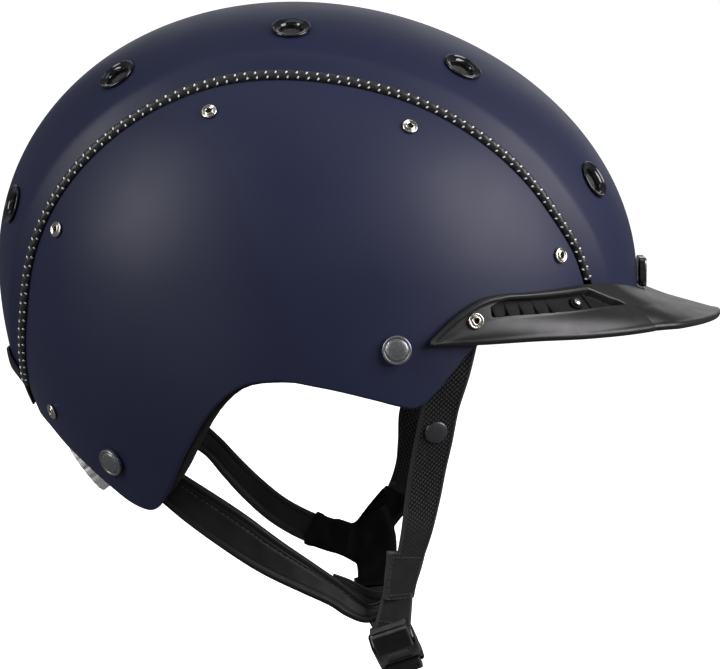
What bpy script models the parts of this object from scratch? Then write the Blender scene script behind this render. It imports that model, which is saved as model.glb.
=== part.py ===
"""Equestrian riding helmet, modelled as an assembly of separate pieces.

The frame: +X points the way the rider looks, +Z is up, and -Y is the rider's right.
The origin is the middle of the rider's head, on the level where the shell is widest.
Dimensions below are in millimetres; meshes are built in metres.
"""

import math

import bmesh
import bpy
import numpy as np
from mathutils import Matrix, Vector

MM = 0.001

# ---------------------------------------------------------------- driving dimensions
# Shell: an egg-shaped dome whose upper part leans back a little.
HALF_LENGTH = 129.5
HALF_WIDTH = 106.0
CROWN_HEIGHT = 108.5
DROP_FORE_AFT = 145.0  # half height of the dome's lower part, seen from the side
DROP_SIDEWAYS = 190.0  # the same, seen from the front
LEAN = 0.045  # backward shift per unit of height
LEAN_CROWN = 0.00043  # extra backward shift, with the height squared

SHELL_WALL = 2.4
BAND_RAISE = 3.0  # the centre band stands this proud of the side shells
PLATE_LIFT = 2.0  # the nape trim plate's outer face, over the dome
PLATE_THICK = 1.3
PLATE_SPAN = (194.0, 205.0)  # degrees over the head, from its upper border to its lower one
PLATE_REACH = np.array([5.9, 5.9, 5.65, 4.6, 2.8])  # degrees to each side, down the plate
BAND_FLANK = 8.0  # width of the slope from the trim cord up to the band
GROOVE_HALF = 2.7  # half width of the groove that the trim cord lies in
CORD_RADIUS = 2.1
FOAM_GAP = 1.6  # between a shell's inner face and the foam
FOAM_CROWN = 20.5
FOAM_RIM = 11.0
FOAM_RIM_LIFT = 1.5  # the foam ends this far above the shell's rim
FOAM_NAPE_LIFT = 8.0  # and this much more over the dial

# Rim height by azimuth (0 is the front, 180 the nape), the same on both sides.
RIM = [(0, -20), (28, -20.5), (46, -21.8), (54, -22.5), (57.5, -26.8), (61, -34.5), (65, -42.8),
       (67, -46.2), (69.5, -48.3), (72, -47.6), (78, -44.7), (90, -39.5), (100, -37), (108, -40),
       (115, -50), (122, -66), (129, -82), (136, -92), (143, -91), (150, -83), (156, -75), (161, -69),
       (166, -62.5), (172, -58.8), (180, -57.5)]

# The line between centre band and side shell: turn about the Y axis from the front, and
# angle away from the middle plane, in degrees.
SPLIT = [(-10, 24.5), (5, 29.5), (20, 34.5), (50, 39.5), (85, 41), (120, 36.5), (150, 30.5),
         (180, 21), (191, 15.5), (199.5, 8), (202.5, 0)]

VENTS = {"front": (19, 18), "upper_front": (55, 24), "crown": (96, 25), "upper_rear": (135, 20),
         "rear": (167, 13)}  # turn and angle as in SPLIT
VENT_FLANGE_RADIUS = 8.0
VENT_TUBE_RADIUS = 5.6
VENT_BORE_RADIUS = 4.6
VENT_HOLE_RADIUS = 6.1

EYELETS = {"rear": (169, 30), "upper_rear": (122, 44), "upper_front": (59, 48), "front": (6, 35)}
NAPE_EYELET = (160, -55)  # azimuth and height
EYELET_RADIUS = 3.4
EYELET_BORE_RADIUS = 1.3
EYELET_STEM_RADIUS = 2.0

PIVOT_X, PIVOT_Z = 32.0, -25.0  # nape cradle pivots, under the front caps
CAP_RADIUS = 6.0
PIVOT_STEM_RADIUS = 2.2
REAR_CAP = (-82.0, -73.0)  # x and z

VISOR_SPAN = 66.2  # azimuth of the visor's rear tips
VISOR_WALL = 2.2
VISOR_CLEAR = 0.8
VISOR_REACH = 31.0  # how far the peak reaches out in front, beyond the skirt
VISOR_WINDOW = (26.0, 53.5)  # azimuths of the side opening
VISOR_UPPER_EDGE = [(0, -7.4), (7, -7.0), (12, -5.4), (23, -2.6), (30, -2.0), (37, -2.9), (45, -3.8),
                    (50, -4.1), (54.5, -5.8), (60, -11.5), (66.2, -21.5)]  # azimuth and height
VISOR_LIP = [(0, -15.8), (12, -17.5), (23, -19.1), (30, -20.4), (37, -21.3), (45, -21.8), (55, -22.9),
             (66.2, -23.6)]
VISOR_RECESS_SHARES = (0.1, 0.14, 0.42, 0.47)  # down the visor: where the recess starts and ends
VISOR_EYELET = (57.0, 0.4)  # azimuth and share of the way down
VISOR_SCREW = (34.3, 0.28)  # the same
VISOR_RECESS = 1.5

# Chin straps: where they leave the shell's edge, and where they meet.
FRONT_EXIT = (52.0, 84.5, -49.0)
REAR_EXIT = (-54.0, 63.0, -84.5)
JUNCTION_X = {"right": 33.0, "left": 26.0}
WEB_WIDTH = 16.0
STUD_DROP = 12.5  # from the shell's edge down the front strap to its press stud
WEB_THICK = 2.0
LEATHER_WIDTH = 17.0
BUCKLE_CENTRE = Vector((33.0, -43.5, -153.0))
BUCKLE_WIDTH = 21.5
BUCKLE_DRAWN_WIDTH = 25.0  # the buckle's blocks are drawn this wide, and narrowed to BUCKLE_WIDTH
BUCKLE_THICK = 8.6
PRONG_ROOT = 7.7 * BUCKLE_WIDTH / BUCKLE_DRAWN_WIDTH  # from the buckle's middle line
FRONT_TAB_GAP = 2.2  # room for the strap to swing past its fixed end
REAR_TAB_GAP = 2.2

# Nape fitting: toothed bands round an axis that stands square to them, drawn by a dial.
DIAL_TILT = math.radians(36.87)  # the dial faces this far below straight back
BAND_RADIUS = 56.0
BAND_MIDDLE = Vector((-86.0, 0.0, -74.0))
DIAL_RADIUS = 12.5
DIAL_NOTCHES = 16
DIAL_RISE = (8.7, 14.0)  # the wheel's two faces, out from the bands' circle
HOUSING_RADIUS, HOUSING_RISE = 11.5, (4.0, 8.2)
SPINDLE_RADIUS = 2.2
YOKE_WIDTH, YOKE_THICK = 15.0, 1.8
YOKE_GAP = 4.0  # from the bands' circle out to the yoke's middle
RACK_WIDTH, RACK_THICK = 2.6, 1.6
RACK_SPAN = (-9.0, 62.0)  # degrees from the middle of the nape
NAPE_PAD_WIDTH, NAPE_PAD_THICK = 17.0, 4.0
PINION_RADIUS = 3.8  # at the pitch circle
PINION_TEETH = 10

# Lining: heights by azimuth, and how far the headband stands in from the foam.
HEADBAND_LOW = [(0, -10), (50, -14), (62, -33), (78, -38), (95, -33), (104, -32), (114, -36)]
HEADBAND_HIGH = [(0, 18), (60, 10), (114, -2)]
HEADBAND_INSET = [(0, 3.3), (48, 3.3), (60, 6.0), (114, 6.0)]
HEADBAND_THICK = 3.6
CROWN_PAD_INSET, CROWN_PAD_THICK = 2.6, 4.5

# Ways of the straps on the left side, from the shell's edge down.
FRONT_WAY = [FRONT_EXIT, (49.2, 81.5, -60), (44, 75.5, -80), (39.5, 69.5, -101)]
REAR_WAY = [REAR_EXIT, (-44, 64.5, -93.5), (-31, 65.3, -103), (-13, 65.0, -114.5),
            (2, 63.5, -123.5), (13, 61.0, -129.5), (24, 58.0, -132.0)]
LEATHER_THICK = 2.2
CHIN_WIDTH, CHIN_THICK = 15.0, 1.8

SIDES = (("right", -1), ("left", 1))
GAP = 0.35


# ---------------------------------------------------------------- scene and materials
def clear_scene():
    for obj in list(bpy.data.objects):
        bpy.data.objects.remove(obj, do_unlink=True)


def new_collection(name):
    made = bpy.data.collections.new(name)
    bpy.context.scene.collection.children.link(made)
    return made


def material(name, colour, roughness, metallic=0.0):
    made = bpy.data.materials.new(name)
    made.use_nodes = True
    shader = made.node_tree.nodes["Principled BSDF"]
    shader.inputs["Base Color"].default_value = (*colour, 1.0)
    shader.inputs["Roughness"].default_value = roughness
    shader.inputs["Metallic"].default_value = metallic
    return made


clear_scene()
PARTS = new_collection("riding_helmet")
CUTTERS = new_collection("cutters")
NAVY = material("matt_navy", (0.023, 0.027, 0.055), 0.45)
GLOSS_BLACK = material("gloss_black", (0.006, 0.006, 0.007), 0.12)
MATT_BLACK = material("matt_black", (0.018, 0.018, 0.018), 0.5)
FOAM = material("foam", (0.02, 0.02, 0.022), 0.9)
FABRIC = material("lining_fabric", (0.01, 0.01, 0.011), 0.95)
LEATHER = material("strap_leather", (0.014, 0.014, 0.014), 0.5)
WEBBING = material("webbing", (0.013, 0.013, 0.014), 0.85)
SILVER = material("bright_metal", (0.8, 0.76, 0.66), 0.18, 1.0)
GUNMETAL = material("gunmetal", (0.12, 0.12, 0.12), 0.3, 1.0)
FROSTED = material("frosted_plastic", (0.35, 0.36, 0.34), 0.4)
TRIM = material("trim_cord", (0.01, 0.01, 0.01), 0.6)


# ---------------------------------------------------------------- the dome
def lean(z):
    return -LEAN * z - LEAN_CROWN * np.maximum(z, 0) ** 2


def dome_value(p):
    """Below 0 inside the dome and above 0 outside it, for an array of points."""
    x, y, z = p[..., 0], p[..., 1], p[..., 2]
    crown = 1 - (z / CROWN_HEIGHT) ** 2
    fore_aft = np.where(z > 0, crown, 1 - (z / DROP_FORE_AFT) ** 2)
    ratio = np.where(z > 0, 1.0, fore_aft / (1 - (z / DROP_SIDEWAYS) ** 2))
    return ((x - lean(z)) / HALF_LENGTH) ** 2 + (y / HALF_WIDTH) ** 2 * ratio - fore_aft


def on_dome(start, direction):
    """Where lines from start along direction leave the dome."""
    low = np.zeros(direction.shape[:-1])
    high = np.full(direction.shape[:-1], 190.0)
    for _ in range(40):
        middle = (low + high) / 2
        inside = dome_value(start + direction * middle[..., None]) < 0
        low, high = np.where(inside, middle, low), np.where(inside, high, middle)
    return start + direction * low[..., None]


def dome_normal(p):
    step = 0.05
    slopes = []
    for axis in range(3):
        shift = np.zeros(3)
        shift[axis] = step
        slopes.append(dome_value(p + shift) - dome_value(p - shift))
    normal = np.stack(slopes, -1)
    return normal / np.linalg.norm(normal, axis=-1, keepdims=True)


def hermite(knots, at):
    """A smooth curve through (place, value) knots, read at the places given."""
    x = np.array([k[0] for k in knots], float)
    y = np.array([k[1] for k in knots], float)
    slope = np.gradient(y, x)
    at = np.clip(np.asarray(at, float), x[0], x[-1])
    i = np.clip(np.searchsorted(x, at) - 1, 0, len(x) - 2)
    width = x[i + 1] - x[i]
    t = (at - x[i]) / width
    start = (1 + 2 * t) * (1 - t) ** 2 * y[i] + t * (1 - t) ** 2 * width * slope[i]
    end = t * t * (3 - 2 * t) * y[i + 1] + t * t * (t - 1) * width * slope[i + 1]
    return start + end


def turned_direction(turn, angle):
    """Direction at a turn about the Y axis from the front and an angle off the middle plane."""
    turn, angle = np.radians(turn), np.radians(angle)
    return np.stack([np.cos(turn) * np.cos(angle), np.sin(angle), np.sin(turn) * np.cos(angle)], -1)


def unit(v):
    v = np.asarray(v, float)
    return v / np.linalg.norm(v, axis=-1, keepdims=True)


def resample(points, count):
    """Points evenly spaced along a polyline."""
    lengths = np.linalg.norm(np.diff(points, axis=0), axis=1)
    place = np.concatenate([[0], np.cumsum(lengths)])
    at = np.linspace(0, place[-1], count)
    return np.stack([np.interp(at, place, points[:, k]) for k in range(3)], -1)


def spline(points, count):
    """A smooth curve through points, evenly sampled."""
    points = np.asarray(points, float)
    chord = np.concatenate([[0], np.cumsum(np.linalg.norm(np.diff(points, axis=0), axis=1))])
    fine = np.linspace(0, chord[-1], 20 * len(points))
    columns = [hermite(list(zip(chord, points[:, k])), fine) for k in range(points.shape[1])]
    return resample(np.stack(columns, -1), count)


def split_curve(count):
    """The split line on the left side (+Y), from the front to the middle of the nape."""
    whole = SPLIT + [(turn, -angle) for turn, angle in SPLIT[-2::-1]]
    place = np.arange(len(whole))
    fine = np.linspace(0, len(SPLIT) - 1, 400)
    turn = hermite(list(zip(place, [k[0] for k in whole])), fine)
    angle = hermite(list(zip(place, [k[1] for k in whole])), fine)
    return resample(on_dome(np.zeros(3), turned_direction(turn, angle)), count)


SPLIT_FINE = split_curve(160)


def in_band(p):
    """True where a point lies within the centre band, seen from the origin."""
    direction = unit(p)
    turn = np.degrees(np.arctan2(direction[..., 2], direction[..., 0]))
    turn = np.where(turn < SPLIT[0][0] - 20, turn + 360, turn)
    edge = unit(SPLIT_FINE)
    edge_turn = np.unwrap(np.arctan2(edge[:, 2], edge[:, 0]))
    edge_angle = np.arcsin(edge[:, 1])
    limit = np.interp(np.radians(turn), edge_turn, edge_angle, right=0.0)
    return np.abs(np.arcsin(np.clip(direction[..., 1], -1, 1))) < limit


def band_raise(p):
    """How far the skin stands proud of the dome at points on it."""
    mirrored = p * np.array([1, -1, 1])
    distance = np.full(p.shape[:-1], 1e9)
    for q in SPLIT_FINE:
        for side in (p, mirrored):
            distance = np.minimum(distance, np.linalg.norm(side - q, axis=-1))
    t = np.clip((distance - GROOVE_HALF) / BAND_FLANK, 0, 1)
    return np.where(in_band(p), BAND_RAISE * t * t * (3 - 2 * t), 0.0)


def skin(direction, offset=0.0):
    """Points on the helmet's outer face in the given directions, moved out by offset."""
    p = on_dome(np.zeros(3), unit(direction))
    return p + dome_normal(p) * (offset + band_raise(p))[..., None]


def skin_normal(direction):
    return dome_normal(on_dome(np.zeros(3), unit(direction)))


def level_point(azimuth, height):
    """The dome's point at an azimuth and a height."""
    azimuth, height = np.radians(azimuth), np.asarray(height, float)
    start = np.stack([lean(height), 0 * height, height], -1)
    aim = np.stack([np.cos(azimuth), np.sin(azimuth), 0 * azimuth], -1)
    return on_dome(start, aim)


def rim_height(azimuth):
    return hermite(RIM, np.abs((np.asarray(azimuth, float) + 180) % 360 - 180))


def rim_point(azimuth, lift=0.0):
    return level_point(azimuth, rim_height(azimuth) + lift)


def slerp(a, b, t):
    a, b = unit(a), unit(b)
    whole = np.arccos(np.clip((a * b).sum(-1), -1, 1))[..., None]
    return (a * np.sin((1 - t) * whole) + b * np.sin(t * whole)) / np.sin(whole)


# ---------------------------------------------------------------- mesh helpers
def mesh_object(name, vertices, faces, mat, collection=PARTS):
    mesh = bpy.data.meshes.new(name)
    mesh.from_pydata([tuple(float(c) * MM for c in v) for v in vertices], [], faces)
    mesh.update()
    obj = bpy.data.objects.new(name, mesh)
    if mat:
        mesh.materials.append(mat)
    collection.objects.link(obj)
    return obj


def grid_faces(rows, columns, flip=False):
    faces = []
    for i in range(rows - 1):
        for j in range(columns - 1):
            a, b = i * columns + j, (i + 1) * columns + j
            face = (a, a + 1, b + 1, b)
            faces.append(face[::-1] if flip else face)
    return faces


def grid_object(name, grid, mat, flip=False):
    """An open surface through a rows x columns grid of points."""
    rows, columns = grid.shape[:2]
    return mesh_object(name, grid.reshape(-1, 3), grid_faces(rows, columns, flip), mat)


def solidify(obj, thickness):
    """Gives an open surface a wall that grows inwards, against its normals."""
    wall = obj.modifiers.new("wall", "SOLIDIFY")
    wall.thickness = thickness * MM
    wall.offset = -1
    return obj


def shade_round(obj):
    obj.data.shade_smooth()
    obj.data.set_sharp_from_angle(angle=math.radians(35))
    return obj


def cut(obj, cutter):
    """Takes the cutter's shape away from obj."""
    cutter.hide_render = True
    cutter.display_type = "WIRE"
    for collection in list(cutter.users_collection):
        collection.objects.unlink(cutter)
    CUTTERS.objects.link(cutter)
    hole = obj.modifiers.new("cut", "BOOLEAN")
    hole.operation = "DIFFERENCE"
    hole.solver = "EXACT"
    hole.object = cutter
    return obj


def frame_at(point, normal, along=(0, 0, 1)):
    """A placement whose Z axis is the normal and whose X axis is nearest to along."""
    z = Vector(normal).normalized()
    x = Vector(along) - z * z.dot(Vector(along))
    x.normalize()
    y = z.cross(x)
    turn = Matrix((x, y, z)).transposed()
    return Matrix.Translation(Vector(point) * MM) @ turn.to_4x4()


def turned(name, profile, place, mat, steps=16, ring=False):
    """A turned piece: profile (radius, height) down its outer side, placed by a matrix."""
    mesh = bpy.data.meshes.new(name)
    edges = [(i, i + 1) for i in range(len(profile) - 1)]
    if ring:
        edges.append((len(profile) - 1, 0))
    mesh.from_pydata([(r * MM, 0, h * MM) for r, h in profile], edges, [])
    obj = bpy.data.objects.new(name, mesh)
    if mat:
        mesh.materials.append(mat)
    PARTS.objects.link(obj)
    screw = obj.modifiers.new("turn", "SCREW")
    screw.steps = steps
    screw.render_steps = steps
    screw.use_merge_vertices = not ring
    screw.merge_threshold = 0.00001
    obj.matrix_world = place
    return obj


def rod(name, radius, low, high, place, mat=None, sides=16):
    """A plain round rod along a placement's Z axis."""
    bpy.ops.mesh.primitive_cylinder_add(vertices=sides, radius=radius * MM, depth=(high - low) * MM)
    obj = bpy.context.object
    obj.name = name
    obj.data.name = name
    obj.data.transform(Matrix.Translation((0, 0, (low + high) / 2 * MM)))
    if mat:
        obj.data.materials.append(mat)
    for collection in list(obj.users_collection):
        collection.objects.unlink(obj)
    PARTS.objects.link(obj)
    obj.matrix_world = place
    return obj


def block(name, low, high, place, mat=None, bevel=0.0):
    """A box between two corners of a placement's own axes."""
    bpy.ops.mesh.primitive_cube_add(size=1)
    obj = bpy.context.object
    obj.name = name
    obj.data.name = name
    low, high = Vector(low) * MM, Vector(high) * MM
    obj.data.transform(Matrix.Translation((low + high) / 2) @ Matrix.Diagonal((*(high - low), 1)))
    if bevel:
        edge = obj.modifiers.new("edge", "BEVEL")
        edge.width = bevel * MM
        edge.segments = 2
        edge.limit_method = "ANGLE"
    if mat:
        obj.data.materials.append(mat)
    for collection in list(obj.users_collection):
        collection.objects.unlink(obj)
    PARTS.objects.link(obj)
    obj.matrix_world = place
    return obj


def evaluated_mesh(obj):
    """A copy of an object's finished mesh, in world space."""
    graph = bpy.context.evaluated_depsgraph_get()
    mesh = bpy.data.meshes.new_from_object(obj.evaluated_get(graph))
    mesh.transform(obj.matrix_world)
    return mesh


def joined(name, pieces, mat):
    """One object made of several separate closed bodies, for a cutter."""
    bpy.context.view_layer.update()
    work = bmesh.new()
    for piece in pieces:
        mesh = evaluated_mesh(piece)
        work.from_mesh(mesh)
        bpy.data.meshes.remove(mesh)
    for piece in pieces:
        bpy.data.objects.remove(piece, do_unlink=True)
    mesh = bpy.data.meshes.new(name)
    bmesh.ops.recalc_face_normals(work, faces=work.faces)
    work.to_mesh(mesh)
    work.free()
    obj = bpy.data.objects.new(name, mesh)
    if mat:
        mesh.materials.clear()
        mesh.materials.append(mat)
    PARTS.objects.link(obj)
    return obj


def united(name, pieces, mat):
    """One closed body made of overlapping pieces."""
    bpy.context.view_layer.update()
    base = mesh_from(name, pieces[0], mat)
    for piece in pieces[1:]:
        tool = mesh_from(piece.name + "_tool", piece, None)
        tool.hide_render = True
        tool.display_type = "WIRE"
        PARTS.objects.unlink(tool)
        CUTTERS.objects.link(tool)
        join = base.modifiers.new("join", "BOOLEAN")
        join.operation = "UNION"
        join.solver = "EXACT"
        join.object = tool
    return base


def mesh_from(name, piece, mat):
    mesh = evaluated_mesh(piece)
    bpy.data.objects.remove(piece, do_unlink=True)
    mesh.name = name
    obj = bpy.data.objects.new(name, mesh)
    if mat:
        mesh.materials.clear()
        mesh.materials.append(mat)
    PARTS.objects.link(obj)
    return obj


def ribbon(name, points, normals, width, thickness, mat):
    """A flat strap along points. Normals face out of its face; width may change along it."""
    points, normals = np.asarray(points, float), unit(normals)
    widths = np.broadcast_to(np.asarray(width, float), len(points))
    along = unit(np.gradient(points, axis=0))
    across = unit(np.cross(along, normals))
    face = np.cross(across, along)
    corners = [(1, 1), (1, -1), (-1, -1), (-1, 1)]
    vertices = []
    for p, a, f, w in zip(points, across, face, widths):
        vertices += [p + a * w / 2 * i + f * thickness / 2 * j for i, j in corners]
    faces = [(0, 1, 2, 3)]
    for k in range(len(points) - 1):
        for i in range(4):
            a, b = 4 * k + i, 4 * k + (i + 1) % 4
            faces.append((a, a + 4, b + 4, b))
    last = 4 * (len(points) - 1)
    faces.append((last + 3, last + 2, last + 1, last))
    obj = mesh_object(name, vertices, faces, mat)
    work = bmesh.new()
    work.from_mesh(obj.data)
    bmesh.ops.recalc_face_normals(work, faces=work.faces)
    work.to_mesh(obj.data)
    work.free()
    return obj


def mirrored(v, side):
    """A left-hand point or direction, moved to the side wanted."""
    return np.asarray(v, float) * np.array([1, side, 1])


# ---------------------------------------------------------------- shells and foam
def off_split(points, distance):
    """Split-line points moved across the line: above 0 towards the rim, below 0 to the band."""
    along = unit(np.gradient(points, axis=0))
    across = np.cross(along, dome_normal(points))
    return points + across * distance


def side_shell(word, side):
    columns, rows = 28, 7
    top = off_split(split_curve(200), GROOVE_HALF)
    azimuth = np.degrees(np.arctan2(top[:, 1], top[:, 0]))
    top = resample(top[top[:, 2] > rim_height(azimuth) + 1.5], columns)
    top[-1, 1] = GAP / 2
    azimuth = np.degrees(np.arctan2(top[0, 1], top[0, 0])) + 0.5
    rim = resample(rim_point(np.linspace(azimuth, 179.9, 400)), columns)
    t = np.linspace(0, 1, rows)[:, None]
    grid = np.stack([skin(slerp(a, b, t)) for a, b in zip(top, rim)])
    grid[-1, :, 1] = GAP / 2
    grid = mirrored(grid, side)
    shell = solidify(grid_object(f"side_shell_{word}", grid, NAVY, flip=side < 0), SHELL_WALL)
    holes = [rod("eyelet_hole", EYELET_STEM_RADIUS + 0.5, -8, 4, place, sides=8)
             for place in eyelet_places(side).values()]
    holes.append(rod("visor_screw_hole", EYELET_STEM_RADIUS, -14, 2, visor_screw_place(side), sides=8))
    holes.append(rod("pivot_hole", PIVOT_STEM_RADIUS + 0.5, -12, 6, front_cap_place(side), sides=10))
    holes.append(rod("rear_cap_hole", PIVOT_STEM_RADIUS + 0.5, -8, 6, rear_cap_place(side), sides=10))
    holes.append(rod("strap_screw_hole", EYELET_STEM_RADIUS + 0.5, -10, 2, visor_eyelet_place(side),
                     sides=10))
    cut(shell, joined(f"side_holes_{word}", holes, None))
    return shade_round(shell)


def centre_shell():
    """The raised band over the head, from the forehead to the nape."""
    rows, columns = 26, 11
    edge = off_split(split_curve(rows), -GROOVE_HALF)
    edge = edge[edge[:, 1] > 4.0]
    share = np.linspace(-1, 1, columns)[:, None]
    share = 0.5 + 0.5 * np.sign(share) * np.abs(share) ** 0.8
    grid = np.stack([skin(slerp(mirrored(q, -1), q, share)) for q in edge])
    shell = solidify(grid_object("center_shell", grid, NAVY), SHELL_WALL)
    cut(shell, vent_drill("band_drill"))
    return shade_round(shell)


def vent_place(turn, angle):
    direction = turned_direction(turn, angle)[None]
    return frame_at(skin(direction)[0], skin_normal(direction)[0], along=(0, 1, 0))


def vent_drill(name):
    drills = [rod("drill", VENT_HOLE_RADIUS, -40, 6, vent_place(turn, angle * side), sides=10)
              for turn, angle in VENTS.values() for _, side in SIDES]
    return joined(name, drills, None)


def foam_thickness(direction):
    """The foam is thickest over the crown and thinner towards the rim."""
    height = on_dome(np.zeros(3), unit(direction))[..., 2]
    t = np.clip((height + 45) / 120, 0, 1)
    return FOAM_RIM + (FOAM_CROWN - FOAM_RIM) * t * t * (3 - 2 * t)


def lining_point(direction, inset):
    """A point on the rider's side of the foam, this far in from it."""
    p = on_dome(np.zeros(3), unit(direction))
    return p - dome_normal(p) * (SHELL_WALL + FOAM_GAP + foam_thickness(direction) + inset)[..., None]


def foam_grids(around=32, down=7):
    """Outer and inner faces of the foam liner, ring by ring from the crown to the rim."""
    azimuth = np.linspace(-180, 180, around, endpoint=False)
    at_nape = np.clip((np.abs(azimuth) - 148) / 18, 0, 1)
    edge = rim_point(azimuth, FOAM_RIM_LIFT + FOAM_NAPE_LIFT * at_nape)
    top = np.broadcast_to([lean(CROWN_HEIGHT), 0.0, CROWN_HEIGHT], edge.shape)
    shares = np.linspace(0, 1, down + 1)[1:]
    outer, inner = [], []
    depth = SHELL_WALL + FOAM_GAP
    for share in shares:
        direction = slerp(top, edge, share)
        outer.append(skin(direction, -depth))
        inner.append(lining_point(direction, 0.0))
    return np.array(outer), np.array(inner)


def foam_liner():
    outer, inner = foam_grids()
    rings, around = outer.shape[:2]
    pole = unit([[lean(CROWN_HEIGHT), 0.0, CROWN_HEIGHT]])
    depth = SHELL_WALL + FOAM_GAP
    vertices = [*outer.reshape(-1, 3), *inner.reshape(-1, 3),
                skin(pole, -depth)[0], lining_point(pole, 0.0)[0]]
    count = rings * around
    faces = []
    for k in range(around):
        n = (k + 1) % around
        faces.append((2 * count, k, n))
        faces.append((2 * count + 1, count + n, count + k))
        for i in range(rings - 1):
            a, b = i * around, (i + 1) * around
            faces.append((a + k, b + k, b + n, a + n))
            faces.append((count + a + n, count + b + n, count + b + k, count + a + k))
        last = (rings - 1) * around
        faces.append((last + k, count + last + k, count + last + n, last + n))
    foam = mesh_object("foam_liner", vertices, faces, FOAM)
    cut(foam, vent_drill("foam_drill"))
    tools = []
    for _, side in SIDES:
        tools.append(strap_slot("front_slot", front_tab_ends(side)))
        tools.append(strap_slot("rear_slot", rear_tab_ends(side)))
    cut(foam, joined("strap_slots", tools, None))
    stems = []
    for _, side in SIDES:
        stems.append(rod("pivot_way", PIVOT_STEM_RADIUS + 0.6, -32, 8, front_cap_place(side), sides=10))
        stems.append(rod("cap_way", PIVOT_STEM_RADIUS + 0.6, -8.5, 6, rear_cap_place(side), sides=10))
        stems.append(rod("screw_way", EYELET_STEM_RADIUS + 0.6, -10.5, 4, visor_eyelet_place(side),
                         sides=10))
        stems.append(rod("visor_screw_way", EYELET_STEM_RADIUS, -17, 2, visor_screw_place(side), sides=8))
        stems += [rod("eyelet_way", EYELET_STEM_RADIUS + 0.6, -7, 4, place, sides=8)
                  for place in eyelet_places(side).values()]
    cut(foam, joined("stem_ways", stems, None))
    return shade_round(foam)


# ---------------------------------------------------------------- fasteners and trim
def surface_place(point, side):
    """A seat on the dome, for a point given on its left side."""
    normal = dome_normal(np.asarray(point, float)[None])[0]
    return frame_at(mirrored(point, side), mirrored(normal, side))


def eyelet_places(side):
    places = {}
    for name, (turn, angle) in EYELETS.items():
        places[name] = surface_place(on_dome(np.zeros(3), turned_direction(turn, angle)[None])[0], side)
    nape = level_point(np.array([NAPE_EYELET[0]]), np.array([NAPE_EYELET[1]]))[0]
    places["nape"] = surface_place(nape, side)
    return places


def eyelet(name, place):
    """A hollow rivet: a rounded ring with a tube behind it."""
    hole, stem = EYELET_BORE_RADIUS, EYELET_STEM_RADIUS
    profile = [(hole, 1.2), (EYELET_RADIUS, 0.5), (stem, 0.35), (stem, -6.0), (hole, -6.0)]
    return shade_round(turned(name, profile, place, SILVER, steps=8, ring=True))


def visor_eyelet_place(side):
    """The hollow strap screw's seat, on the visor's outer face."""
    point, normal = visor_point(*VISOR_EYELET), visor_normal(*VISOR_EYELET)
    return frame_at(mirrored(point, side), mirrored(normal, side))


def visor_screw_place(side):
    azimuth, share = VISOR_SCREW
    normal = visor_normal(azimuth, share)
    point = visor_point(azimuth, share) - normal * VISOR_RECESS
    return frame_at(mirrored(point, side), mirrored(normal, side))


def visor_screw(word, side):
    """The pan-head screw in the visor's side recess."""
    profile = [(0, 1.9), (2.2, 1.6), (2.7, 0.8), (1.5, 0.7), (1.5, -12.0), (0, -12.0)]
    return shade_round(turned(f"visor_screw_{word}", profile, visor_screw_place(side), GUNMETAL, 10))


def strap_screw(word, side):
    """The screw that holds visor, shell and front strap together, with a hollow round head."""
    stem = EYELET_STEM_RADIUS
    profile = [(EYELET_BORE_RADIUS, 1.8), (3.6, 0.8), (stem, 0.7), (stem, -8.3),
               (EYELET_BORE_RADIUS, -8.3)]
    return shade_round(turned(f"strap_screw_{word}", profile, visor_eyelet_place(side), SILVER, 8,
                              ring=True))


def front_cap_place(side):
    """On the shell over the cradle's pivot. Its axis is the Y axis, so the cradle can turn on it."""
    start = np.array([PIVOT_X, 0.0, PIVOT_Z])
    point = on_dome(start, np.array([[0.0, 1.0, 0.0]]))[0]
    return frame_at(mirrored(point, side), (0, side, 0))


def rear_cap_place(side):
    start = np.array([REAR_CAP[0], 0.0, REAR_CAP[1]])
    point = on_dome(start, np.array([[0.0, 1.0, 0.0]]))[0]
    return surface_place(point, side)


def cap(name, place, stem, lift):
    """A domed screw cap with its stem."""
    r = CAP_RADIUS
    profile = [(0, lift + 2.6), (4.0, lift + 1.9), (r, lift + 0.1),
               (PIVOT_STEM_RADIUS, lift), (PIVOT_STEM_RADIUS, -stem), (0, -stem)]
    return shade_round(turned(name, profile, place, GUNMETAL, steps=12))


def trim_cord(word, side):
    """The stitched cord in the groove between band and side shell."""
    whole = split_curve(200)
    normal = dome_normal(whole)
    line = whole + normal * 0.2
    start = np.argmax(line[:, 2] > -0.5)
    end = len(line) - np.argmax(line[::-1, 1] > 13.0)
    line = mirrored(resample(line[start:end], 28), side)
    curve = bpy.data.curves.new(f"trim_cord_{word}", "CURVE")
    curve.dimensions = "3D"
    curve.bevel_depth = CORD_RADIUS * MM
    curve.bevel_resolution = 1
    curve.use_fill_caps = True
    run = curve.splines.new("POLY")
    run.points.add(len(line) - 1)
    for point, place in zip(run.points, line):
        point.co = (*[c * MM for c in place], 1)
    curve.materials.append(TRIM)
    obj = bpy.data.objects.new(f"trim_cord_{word}", curve)
    PARTS.objects.link(obj)
    return obj


def rear_trim_plate():
    """A soft plate that covers the ends of both trim cords at the nape."""
    turn = np.linspace(*PLATE_SPAN, len(PLATE_REACH))
    share = np.linspace(-1, 1, 9)
    grid = np.stack([skin(turned_direction(t, share * r), PLATE_LIFT)
                     for t, r in zip(turn, PLATE_REACH)])
    plate = grid_object("rear_trim_plate", grid, MATT_BLACK)
    return shade_round(solidify(plate, PLATE_THICK))


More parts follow.
